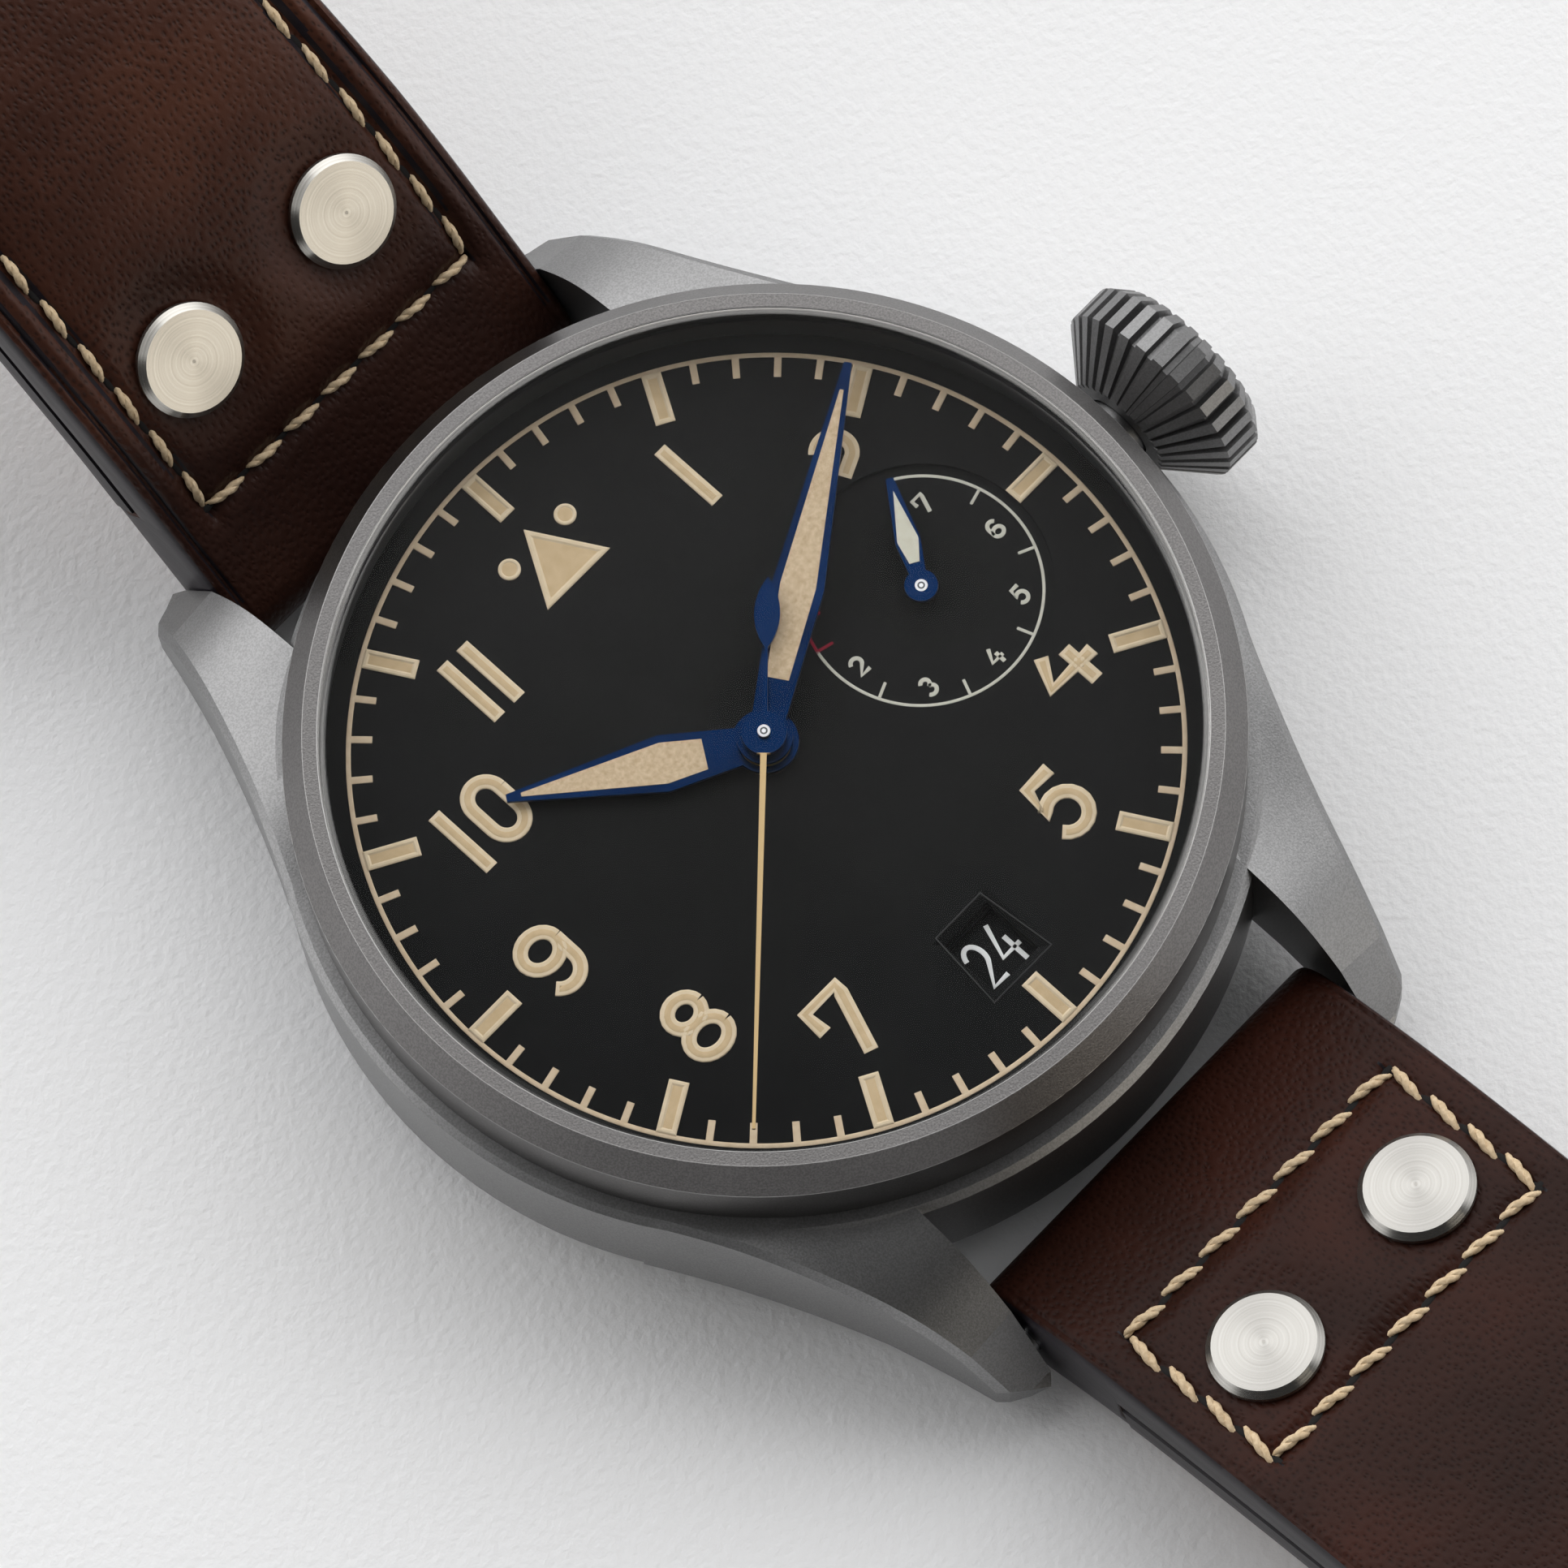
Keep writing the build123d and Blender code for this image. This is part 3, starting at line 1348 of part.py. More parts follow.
def build_all():
    """Every piece by its node's name."""
    hour_hand, hour_lume = hand(hour_hand_low, hour_hub_diameter, hour_pipe_outer, hour_hand_length,
                                hour_hand_wide_at, hour_hand_wide, hour_hand_neck, hour_lume_start,
                                hour_lume_end)
    minute_hand, minute_lume = hand(minute_hand_low, minute_hub_diameter, cannon_pipe_outer,
                                    minute_hand_length, minute_hand_wide_at, minute_hand_wide,
                                    minute_hand_neck, minute_lume_start, minute_lume_end)
    y, z = short_path.point(short_length, 0)
    print("buckle bar at y", y, "z", z, "slope", short_path.frame(short_length)[2])
    print("strap tip at", long_path.point(long_length, 0), "slope", long_path.frame(long_length)[2])
    gasket_inner = crystal_diameter / 2 + fitted_gap
    return {
        "case_middle": case_middle(),
        "bezel": bezel(),
        "crystal": crystal(),
        "crystal_gasket": ring(2 * gasket_inner + 2 * gasket_thickness - fitted_gap, 2 * gasket_inner,
                               gasket_low, gasket_high),
        "rehaut_ring": ring(rehaut_outer, rehaut_inner, dial_height, rehaut_high),
        "case_back": case_back(),
        "case_back_gasket": ring(back_collar_inner - 2 * fitted_gap,
                                 back_collar_inner - 2 * back_gasket_section, cage_low + cage_floor,
                                 cage_low + cage_floor + back_gasket_section),
        "inner_cage": inner_cage(),
        "movement_ring": ring(holder_outer, holder_inner, holder_low, holder_high)
        - rod(tube_inner, 0, case_radius, 0, stem_height),
        "crown_tube": rod(tube_outer, tube_inner_x, tube_outer_x, 0, stem_height)
        - rod(tube_inner, 0, case_diameter, 0, stem_height),
        "crown": crown(),
        "crown_gasket": rod(seal_outer, seal_inner_x, seal_inner_x + seal_length, 0, stem_height)
        - rod(seal_inner, 0, case_diameter, 0, stem_height),
        "winding_stem": winding_stem(),
        "winding_pinion": winding_pinion(),
        "sliding_pinion": sliding_pinion(),
        "crown_wheel": crown_wheel(),
        "ratchet_wheel": ratchet_wheel(),
        "dial": dial(),
        "hour_marks": hour_marks(),
        "hour_hand": at_hour_angle(hour_hand, hour_hand_at),
        "hour_hand_lume": at_hour_angle(hour_lume, hour_hand_at),
        "minute_hand": at_hour_angle(minute_hand, minute_hand_at),
        "minute_hand_lume": at_hour_angle(minute_lume, minute_hand_at),
        "seconds_hand": seconds_hand(),
        "power_reserve_hand": power_reserve_hand(),
        "cannon_pinion": cannon_pinion(),
        "minute_wheel": minute_wheel(),
        "hour_wheel": hour_wheel(),
        "date_ring": date_ring(),
        "mainplate": mainplate(),
        "barrel_bridge": barrel_bridge(),
        "train_bridge": train_bridge(),
        "balance_cock": balance_cock(),
        "bridge_screws": bridge_screws(),
        "barrel": barrel(),
        "barrel_arbor": barrel_arbor(),
        "centre_wheel": centre_wheel(),
        "third_wheel": third_wheel(),
        "fourth_wheel": fourth_wheel(),
        "escape_wheel": escape_wheel(),
        "pallet_fork": pallet_fork(),
        "balance_wheel": balance_wheel(),
        "hairspring": hairspring(),
        "rotor": rotor(),
        "rotor_bearing": disc(bearing_diameter, bearing_low, bridge_low),
        "strap_short": tapered(strap_top(short_path, True), short_plan()) - short_cuts(),
        "strap_short_lining": tapered(side_solid(lining_sheet(short_path, True)), short_plan())
        - short_cuts(),
        "strap_long": tapered(strap_top(long_path, False), long_plan()) - long_cuts(),
        "strap_long_lining": tapered(side_solid(lining_sheet(long_path, False)), long_plan())
        - long_cuts(),
        "strap_short_rivets": rivets(short_path, short_rivet_at),
        "strap_long_rivets": rivets(long_path, long_rivet_at),
        "spring_bars": spring_bars(),
        "buckle_frame": buckle_frame(),
        "buckle_bar": buckle_bar(),
        "buckle_tongue": buckle_tongue(),
        "fixed_loop": loop(fixed_loop_back),
        "free_loop": loop(free_loop_back),
    }


os.makedirs("parts", exist_ok=True)
for name, piece in build_all().items():
    export_step(piece, f"parts/{name}.step")
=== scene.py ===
# %% [markdown]
# This lesson dresses a finished watch model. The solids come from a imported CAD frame, where every piece
# has its name and moves with its body. Here they get a camera, light, finishes and what CAD leaves out:
# lume, prints, padded leather, stitches and grain.

# %% Load the frame
from math import cos, exp, pi, radians, sin, sqrt

import bpy
from mathutils import Matrix, Vector


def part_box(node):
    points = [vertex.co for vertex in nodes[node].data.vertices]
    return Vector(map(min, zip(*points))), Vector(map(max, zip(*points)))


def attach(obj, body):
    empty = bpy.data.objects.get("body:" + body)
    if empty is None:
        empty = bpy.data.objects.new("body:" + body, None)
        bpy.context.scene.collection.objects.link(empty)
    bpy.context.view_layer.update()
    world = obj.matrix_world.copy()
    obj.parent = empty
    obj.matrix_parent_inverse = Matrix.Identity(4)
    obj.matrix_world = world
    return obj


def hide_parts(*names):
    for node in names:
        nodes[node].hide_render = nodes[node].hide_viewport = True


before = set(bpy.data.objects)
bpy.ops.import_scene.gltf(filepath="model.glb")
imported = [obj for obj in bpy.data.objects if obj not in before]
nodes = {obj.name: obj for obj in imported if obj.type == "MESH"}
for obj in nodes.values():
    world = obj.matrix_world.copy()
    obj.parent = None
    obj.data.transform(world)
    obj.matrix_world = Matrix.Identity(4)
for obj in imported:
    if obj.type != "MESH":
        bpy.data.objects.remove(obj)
scene = bpy.context.scene
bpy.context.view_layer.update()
mm = 0.001

# %% [markdown]
# The camera stands where the photographer's stood: about 70 degrees above the table and turned, so that
# 12 o'clock points to the upper left. A long lens, as used for catalogue pictures, keeps the case round.
# Its three axes were worked out from the circles printed on the dial.

# %% Camera
camera_right = Vector((0.68979948, -0.72258438, -0.04526034))
camera_up = Vector((0.69402344, 0.64214289, 0.3255518))
camera_back = Vector((-0.20617504, -0.2559772, 0.94444033))
bpy.ops.object.select_all(action="DESELECT")
bpy.ops.object.camera_add(location=(-0.09283, -0.11618, 0.43319))
camera = bpy.context.object
camera.name = "photo_camera"
turn = Matrix((camera_right, camera_up, camera_back)).transposed().to_4x4()
camera.matrix_world = Matrix.Translation(camera.location) @ turn
camera.data.sensor_width = 36
camera.data.lens = 222.79
camera.data.clip_start = 0.01
scene.camera = camera
print("lens", round(camera.data.lens, 1), "mm")

# %% [markdown]
# The light is a white tent with one dark side, where the photographer stands with the camera. Metal shows
# what surrounds it, so every face that leans towards the camera turns dark and every face that leans away
# stays bright: this is what gives the case its depth. Wide soft lamps help on the crown's side and at the
# far left, and a small warm one below 6 o'clock lights the upper rivets. The camera sees a pale wall.

# %% World
def set_stops(ramp_node, stops):
    """Puts colours or greys at places from 0 to 1 on a colour ramp."""
    elements = ramp_node.color_ramp.elements
    while len(elements) < len(stops):
        elements.new(0.5)
    for element, (position, colour) in zip(elements, stops):
        element.position = position
        element.color = (*colour, 1) if isinstance(colour, tuple) else (colour, colour, colour, 1)


tent_strength = 1.76
world = bpy.data.worlds.new("white_tent")
scene.world = world
world.use_nodes = True
sky = world.node_tree.nodes
direction = sky.new("ShaderNodeTexCoord")
split_sky = sky.new("ShaderNodeSeparateXYZ")
height_ramp = sky.new("ShaderNodeValToRGB")
set_stops(height_ramp, [(0.0, 0.6), (0.3, 0.72), (0.6, 0.95), (0.85, 1.0)])
photographer = (-0.4545, -0.5417, 0.7071)
towards = sky.new("ShaderNodeVectorMath")
towards.operation = "DOT_PRODUCT"
towards.inputs[1].default_value = photographer
patch_ramp = sky.new("ShaderNodeValToRGB")
set_stops(patch_ramp, [(0.34, 1.0), (0.57, 0.03)])
darkened = sky.new("ShaderNodeMix")
darkened.data_type = "RGBA"
darkened.blend_type = "MULTIPLY"
darkened.inputs[0].default_value = 1.0
sky["Background"].inputs["Strength"].default_value = tent_strength
wall = sky.new("ShaderNodeBackground")
wall.inputs["Color"].default_value = (0.8, 0.8, 0.81, 1)
seen = sky.new("ShaderNodeLightPath")
chosen = sky.new("ShaderNodeMixShader")
for start, end in ((direction.outputs["Generated"], split_sky.inputs[0]),
                   (split_sky.outputs["Z"], height_ramp.inputs["Fac"]),
                   (direction.outputs["Generated"], towards.inputs[0]),
                   (towards.outputs["Value"], patch_ramp.inputs["Fac"]),
                   (height_ramp.outputs["Color"], darkened.inputs[6]),
                   (patch_ramp.outputs["Color"], darkened.inputs[7]),
                   (darkened.outputs[2], sky["Background"].inputs["Color"]),
                   (seen.outputs["Is Camera Ray"], chosen.inputs[0]),
                   (sky["Background"].outputs[0], chosen.inputs[1]),
                   (wall.outputs[0], chosen.inputs[2]),
                   (chosen.outputs[0], sky["World Output"].inputs["Surface"])):
    world.node_tree.links.new(start, end)
print("tent strength", tent_strength)

# %% Lamps
def soft_lamp(name, place, width, power):
    """A square lamp that looks at the watch."""
    bpy.ops.object.select_all(action="DESELECT")
    bpy.ops.object.light_add(type="AREA", location=place)
    lamp = bpy.context.object
    lamp.name = name
    lamp.data.size = width
    lamp.data.energy = power
    lamp.rotation_euler = (-Vector(place)).to_track_quat("-Z", "Y").to_euler()
    return lamp


soft_lamp("lamp_crown_side", (0.55, 0.1, 0.62), 0.95, 1.5)
soft_lamp("lamp_far_left", (-0.42, 0.75, 0.5), 1.5, 4.7)
warm_lamp = soft_lamp("lamp_low_side", (0.15, -0.78, 0.25), 0.36, 0.7)
warm_lamp.data.color = (1.0, 0.92, 0.79)
scene.view_settings.view_transform = "Standard"

# %% [markdown]
# Every finish is a Principled shader with a few nodes in front of it. The same small steps come back in all
# of them: make the shader, place a pattern on the piece, turn it into colours, and turn it into a bump. They
# get a function each, so that a finish later reads like a recipe.

# %% A finish and its nodes
def finish(name, colour=(0.5, 0.5, 0.5), **sockets):
    """A new material with one Principled shader. Constants go on its own sockets."""
    material = bpy.data.materials.new(name)
    material.use_nodes = True
    shader = material.node_tree.nodes["Principled BSDF"]
    shader.inputs["Base Color"].default_value = (*colour, 1)
    for socket, value in sockets.items():
        shader.inputs[socket.replace("_", " ")].default_value = value
    return material


def shader_of(material):
    """The Principled shader of a material."""
    return material.node_tree.nodes["Principled BSDF"]


def add(material, kind, **values):
    """A node in a material, with some of its inputs or settings."""
    node = material.node_tree.nodes.new("ShaderNode" + kind)
    for key, value in values.items():
        if hasattr(node, key):
            setattr(node, key, value)
        else:
            node.inputs[key.replace("_", " ")].default_value = value
    return node


def wire(material, start, end):
    """One link between two sockets."""
    material.node_tree.links.new(start, end)


# %% Patterns
def place_socket(material, rotation=(0, 0, 0), scale=(1, 1, 1)):
    """Object coordinates, turned and scaled by a Mapping node."""
    source = add(material, "TexCoord").outputs["Object"]
    mapping = add(material, "Mapping")
    mapping.inputs["Rotation"].default_value = rotation
    mapping.inputs["Scale"].default_value = scale
    wire(material, source, mapping.inputs["Vector"])
    return mapping.outputs["Vector"]


def grain(material, size, detail=3.0, vector=None, roughness=0.55):
    """Noise whose blobs are about size metres across."""
    node = add(material, "TexNoise", Scale=1 / size, Detail=detail, Roughness=roughness)
    wire(material, vector or place_socket(material), node.inputs["Vector"])
    return node.outputs["Fac"]


# %% Colours and numbers
def ramp(material, value, stops):
    """Colours or greys along a value from 0 to 1."""
    node = add(material, "ValToRGB")
    set_stops(node, stops)
    wire(material, value, node.inputs["Fac"])
    return node.outputs["Color"]


def blend(material, share, first, second, mode="MIX"):
    """Two colours mixed by a share."""
    node = add(material, "Mix", data_type="RGBA", blend_type=mode)
    for socket, value in ((node.inputs[0], share), (node.inputs[6], first), (node.inputs[7], second)):
        if hasattr(value, "links"):
            wire(material, value, socket)
        elif isinstance(value, tuple):
            socket.default_value = (*value, 1)
        else:
            socket.default_value = value
    return node.outputs[2]


def sums(material, operation, *values):
    """One Math node on sockets or numbers."""
    node = add(material, "Math", operation=operation)
    for socket, value in zip(node.inputs, values):
        if hasattr(value, "links"):
            wire(material, value, socket)
        else:
            socket.default_value = value
    return node.outputs[0]


# %% Bump and coat
def rough_surface(material, height, depth, strength=1.0, under=None):
    """A bump of that depth in metres on the shader's normal, over an earlier bump if given."""
    node = add(material, "Bump", Strength=strength, Distance=depth)
    wire(material, height, node.inputs["Height"])
    if under is not None:
        wire(material, under, node.inputs["Normal"])
    wire(material, node.outputs["Normal"], shader_of(material).inputs["Normal"])
    return node.outputs["Normal"]


def coat(piece, *materials):
    """Gives a piece its finishes, in the order of its slots."""
    piece.data.materials.clear()
    for material in materials:
        piece.data.materials.append(material)


def dress(material, *names):
    """Puts one finish on CAD nodes."""
    for name in names:
        coat(nodes[name], material)


# %% [markdown]
# Modelling by script follows the same steps as by hand: deselect everything, add a primitive, pick faces and
# shape them in edit mode, then put the object's place into its mesh, so that it sits at the origin.

# %% Edit mode and selection
def edit(piece, choose):
    """Goes into edit mode with the faces selected that choose picks."""
    bpy.ops.object.select_all(action="DESELECT")
    piece.select_set(True)
    bpy.context.view_layer.objects.active = piece
    scene.tool_settings.mesh_select_mode = (False, False, True)
    for part in (*piece.data.vertices, *piece.data.edges):
        part.select = False
    for face in piece.data.polygons:
        face.select = choose(face)
    bpy.ops.object.mode_set(mode="EDIT")


def leave_edit():
    """Back to object mode."""
    bpy.ops.object.mode_set(mode="OBJECT")


def only(piece):
    """Makes one object the active and only selected one."""
    bpy.ops.object.select_all(action="DESELECT")
    piece.select_set(True)
    bpy.context.view_layer.objects.active = piece


def flatten(piece):
    """Puts an object's place into its mesh."""
    only(piece)
    bpy.ops.object.transform_apply(location=True, rotation=True, scale=True)
    return piece


def extrude_up(high):
    """Extrudes the selected faces by a height and turns all normals outwards."""
    bpy.ops.mesh.extrude_region_move(TRANSFORM_OT_translate={"value": (0, 0, high)})
    bpy.ops.mesh.select_all(action="SELECT")
    bpy.ops.mesh.normals_make_consistent(inside=False)


# %% Joining, copying and shading
def join(name, pieces):
    """Joins meshes into one named piece."""
    bpy.ops.object.select_all(action="DESELECT")
    for piece in pieces:
        piece.select_set(True)
    bpy.context.view_layer.objects.active = pieces[0]
    if len(pieces) > 1:
        bpy.ops.object.join()
    pieces[0].name = name
    pieces[0].data.name = name
    return pieces[0]


def copy_at(piece, matrix):
    """A copy with its own mesh, with the matrix put into the mesh."""
    twin = piece.copy()
    twin.data = piece.data.copy()
    scene.collection.objects.link(twin)
    twin.data.transform(matrix)
    return twin


def smooth(piece, angle=40):
    """Smooth shading that keeps real corners."""
    only(piece)
    bpy.ops.object.shade_smooth_by_angle(angle=radians(angle))


# %% [markdown]
# The floor is a sheet of pale card. Its colour, and not stronger light, makes it pale. Noise in the bump,
# with blobs of half a millimetre, gives it the tooth of paper.

# %% Floor
floor_side, floor_gap = 3.0, 0.05 * mm
bpy.ops.object.select_all(action="DESELECT")
bpy.ops.mesh.primitive_plane_add(size=floor_side, location=(0, 0, -floor_gap))
floor = flatten(bpy.context.object)
floor.name = "card_floor"
card = finish("pale_card", (0.91, 0.912, 0.92), Roughness=0.9, Specular_IOR_Level=0.2)
paper_tooth, tooth_depth = 0.5 * mm, 0.1 * mm
rough_surface(card, grain(card, paper_tooth, 4), tooth_depth, 0.7)
coat(floor, card)
print("floor", [round(side, 2) for side in floor.dimensions])

# %% [markdown]
# The case is blasted titanium: a mid grey with a fine sparkle, because blasting leaves tiny dents that
# each catch the tent from another side. Three noises do it: one for the dents, one for the sparkle, which
# is painted into the colour as painted glints, and one for the clouding.
# The bezel and the crown are the same metal a shade darker, and the wall inside the bezel is turned, so its
# marks run round.

# %% Recipes for blasted and turned metal
cloud_size, glint_size, dent_size = 4 * mm, 0.1 * mm, 0.09 * mm


def blasted(name, colour, roughness, sparkle, depth):
    """Blasted metal: dents as a bump, a slight clouding of the colour, and painted glints over it."""
    material = finish(name, colour, Metallic=1.0, Roughness=roughness)
    cloud = grain(material, cloud_size, 3)
    dark = tuple(part * 0.9 for part in colour)
    light = tuple(part * 1.09 for part in colour)
    # painted highlight: a fine noise laid over the colour as glints of the dents catching the light
    painted_glints = grain(material, glint_size, 2)
    tone = blend(material, cloud, dark, light)
    tone = blend(material, sparkle, tone, ramp(material, painted_glints, [(0.4, 0.3), (0.6, 0.75)]), "OVERLAY")
    wire(material, tone, shader_of(material).inputs["Base Color"])
    rough_surface(material, grain(material, dent_size, 2), depth, 0.6)
    return material


round_pull = 0.4 * mm


def round_cut(name, colour, roughness, depth, axis="Z", streak=0.12 * mm):
    """Satin metal whose fine marks run round the watch's axis or the crown's."""
    material = finish(name, colour, Metallic=1.0, Roughness=roughness)
    split = add(material, "SeparateXYZ")
    turned = (0, 0, 0) if axis == "Z" else (0, -pi / 2, 0)
    wire(material, place_socket(material, rotation=turned), split.inputs[0])
    across = sums(material, "MULTIPLY", split.outputs[0], split.outputs[0])
    along = sums(material, "MULTIPLY", split.outputs[1], split.outputs[1])
    radius = sums(material, "SQRT", sums(material, "ADD", across, along))
    angle = sums(material, "ARCTAN2", split.outputs[1], split.outputs[0])
    joined = add(material, "CombineXYZ")
    wire(material, radius, joined.inputs[0])
    wire(material, sums(material, "MULTIPLY", angle, round_pull), joined.inputs[1])
    wire(material, split.outputs[2], joined.inputs[2])
    marks = grain(material, streak, 3, joined.outputs[0])
    rough_surface(material, marks, depth, 0.5)
    dark = tuple(part * 0.86 for part in colour)
    light = tuple(part * 1.12 for part in colour)
    tone = blend(material, marks, dark, light)
    wire(material, tone, shader_of(material).inputs["Base Color"])
    return material


# %% Case metals
case_metal = blasted("blasted_titanium", (0.265, 0.264, 0.265), 0.42, 0.25, 0.000014)
crown_metal = blasted("crown_titanium", (0.225, 0.224, 0.225), 0.4, 0.2, 0.00001)
bezel_metal = blasted("bezel_titanium", (0.17, 0.164, 0.162), 0.34, 0.3, 0.000014)
wall_metal = round_cut("dark_wall", (0.03, 0.03, 0.031), 0.4, 0.000008)
shader_of(wall_metal).inputs["Metallic"].default_value = 0.0
dress(case_metal, "case_middle", "case_back")
dress(crown_metal, "crown", "crown_tube")
dress(bezel_metal, "bezel")
dress(wall_metal, "rehaut_ring")
print("case finishes:", case_metal.name, crown_metal.name, bezel_metal.name, wall_metal.name)

# %% [markdown]
# No real edge is sharp. The broken edges of the bezel catch the light as thin bright lines, and the CAD
# ring has none, so slim rings are laid into its edges: at the foot of its slope, where the slope meets the
# top, and inside the top. Their metal is painted about twice as light as the bezel's: a painted highlight.

# %% Broken edges of the bezel
# painted highlight: the edge rings are the bezel's metal painted lighter, so they show as bright lines
painted_edge_highlight = blasted("painted_edge_highlight", (0.34, 0.335, 0.33), 0.28, 0.1, 0.000004)
low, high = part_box("bezel")
edge_rings = []
for inwards, down, slim in ((0, 1.35, 0.06), (1.0, 0.01, 0.05), (1.66, 0.03, 0.05)):
    set_in = slim * 0.7
    bpy.ops.object.select_all(action="DESELECT")
    bpy.ops.mesh.primitive_torus_add(major_segments=160, minor_segments=8,
                                     major_radius=high.x - (inwards + set_in) * mm, minor_radius=slim * mm,
                                     location=(0, 0, high.z - (down + set_in) * mm))
    edge_rings.append(flatten(bpy.context.object))
edge_lines = join("bezel_edges", edge_rings)
coat(edge_lines, painted_edge_highlight)
smooth(edge_lines, 60)
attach(edge_lines, "case")
print("bezel edges:", len(edge_lines.data.polygons), "faces")

# %% [markdown]
# Sapphire with an anti-glare coat hardly shows in the photograph, only near its rim, where its ground
# bevels mirror in thin rings. A shell that lets everything through, mirrors a little more at a flat angle
# and most in two rings near the rim does this, and it doesn't darken the dial.

# %% Crystal
crystal_clear = bpy.data.materials.new("coated_sapphire")
crystal_clear.use_nodes = True
tree = crystal_clear.node_tree
tree.nodes.remove(tree.nodes["Principled BSDF"])
passing = add(crystal_clear, "BsdfTransparent", Color=(0.97, 0.975, 0.98, 1))
mirror = add(crystal_clear, "BsdfGlossy", Color=(1, 0.98, 0.95, 1), Roughness=0.05)
rim = add(crystal_clear, "LayerWeight", Blend=0.32)
flat_angle = sums(crystal_clear, "POWER", rim.outputs["Facing"], 3.0)
flat_mirror, straight_mirror = 0.35, 0.003
clear_share = sums(crystal_clear, "MULTIPLY_ADD", flat_angle, flat_mirror, straight_mirror)
across = add(crystal_clear, "VectorMath", operation="LENGTH")
flat_place = place_socket(crystal_clear, scale=(1, 1, 0))
wire(crystal_clear, flat_place, across.inputs[0])
crystal_radius = 20.6 * mm
from_middle = sums(crystal_clear, "MULTIPLY", across.outputs["Value"], 1 / crystal_radius)
rim_band = ramp(crystal_clear, from_middle, [(0.978, 0.0), (0.983, 0.14), (0.987, 0.02), (0.991, 0.2)])
share = sums(crystal_clear, "MAXIMUM", clear_share, rim_band)
mixed = add(crystal_clear, "MixShader")
wire(crystal_clear, share, mixed.inputs[0])
wire(crystal_clear, passing.outputs[0], mixed.inputs[1])
wire(crystal_clear, mirror.outputs[0], mixed.inputs[2])
wire(crystal_clear, mixed.outputs[0], tree.nodes["Material Output"].inputs["Surface"])
dress(crystal_clear, "crystal")
print("crystal nodes:", len(tree.nodes))

# %% Seals
seal_black = finish("seal_rubber", (0.012, 0.012, 0.013), Roughness=0.55)
rough_surface(seal_black, grain(seal_black, 0.0002), 0.00001, 0.4)
seals = ("crystal_gasket", "case_back_gasket", "crown_gasket")
dress(seal_black, *seals)
print("seals:", len(seals))

# %% [markdown]
# Nobody sees the movement while the case is closed, but each of its metals still gets its own finish:
# steel parts are turned, plates are rhodium with small overlapping circles, wheels are gilt.

# %% Movement metals
steel = round_cut("fine_steel", (0.46, 0.46, 0.47), 0.25, 0.000006)
dress(steel, "winding_stem", "winding_pinion", "sliding_pinion", "crown_wheel", "ratchet_wheel",
      "cannon_pinion", "bridge_screws", "barrel_arbor", "escape_wheel", "pallet_fork", "spring_bars",
      "rotor_bearing")
plate_metal = finish("plate_with_circles", (0.42, 0.41, 0.39), Metallic=1.0, Roughness=0.3)
circle_size, waves = 1.4 * mm, 60.0
cells = add(plate_metal, "TexVoronoi", Scale=1 / circle_size)
wire(plate_metal, place_socket(plate_metal), cells.inputs["Vector"])
circles = cells.outputs["Distance"]
rings_wave = sums(plate_metal, "SINE", sums(plate_metal, "MULTIPLY", circles, waves))
rough_surface(plate_metal, rings_wave, 0.00001, 0.5)
wire(plate_metal, ramp(plate_metal, circles, [(0.0, (0.46, 0.45, 0.43)), (0.8, (0.36, 0.35, 0.33))]),
     shader_of(plate_metal).inputs["Base Color"])
dress(plate_metal, "mainplate", "barrel_bridge", "train_bridge", "balance_cock", "movement_ring")
gilt = round_cut("gilt_brass", (0.62, 0.43, 0.2), 0.28, 0.000006)
dress(gilt, "barrel", "centre_wheel", "third_wheel", "fourth_wheel", "hour_wheel", "minute_wheel",
      "balance_wheel")
hair_steel = finish("hairspring_steel", (0.2, 0.22, 0.3), Metallic=1.0, Roughness=0.3)
rough_surface(hair_steel, grain(hair_steel, 0.0003), 0.000003, 0.3)
dress(hair_steel, "hairspring")
iron = blasted("soft_iron", (0.33, 0.32, 0.31), 0.5, 0.2, 0.00001)
dress(iron, "inner_cage")
rotor_metal = round_cut("rotor_tungsten", (0.4, 0.39, 0.37), 0.3, 0.00001, streak=0.0002)
dress(rotor_metal, "rotor")
print("movement:", [metal.name for metal in (steel, plate_metal, gilt, hair_steel, iron, rotor_metal)])

# %% [markdown]
# The dial is a matte black plate: nearly no mirror, a fine tooth and a faint clouding. The date ring below
# its window is the same black.

# %% Dial black
dial_black = finish("matte_dial", (0.007, 0.007, 0.007), Roughness=0.75, Specular_IOR_Level=0.1)
dial_cloud = grain(dial_black, 0.003, 4)
wire(dial_black, ramp(dial_black, dial_cloud, [(0.3, 0.006), (0.7, 0.008)]),
     shader_of(dial_black).inputs["Base Color"])
rough_surface(dial_black, grain(dial_black, 0.00012, 2), 0.000004, 0.4)
dress(dial_black, "dial", "date_ring")
dial_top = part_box("hour_marks")[0].z
print("dial face at", round(dial_top / mm, 2), "mm")

# %% [markdown]
# The lume is a cream paste in shallow frames. It is grainy, and its rim is coloured lighter than its sunk
# middle. One noise gives both the grain's tone and its bump, and the rim is modelled.

# %% Lume finishes
def paste(name, light, dark, size, depth):
    """Grainy luminous paste."""
    material = finish(name, light, Roughness=0.7, Specular_IOR_Level=0.25)
    fine = grain(material, size, 4)
    tone = blend(material, ramp(material, fine, [(0.3, 0.0), (0.7, 1.0)]), dark, light)
    wire(material, tone, shader_of(material).inputs["Base Color"])
    rough_surface(material, fine, depth, 0.6)
    return material


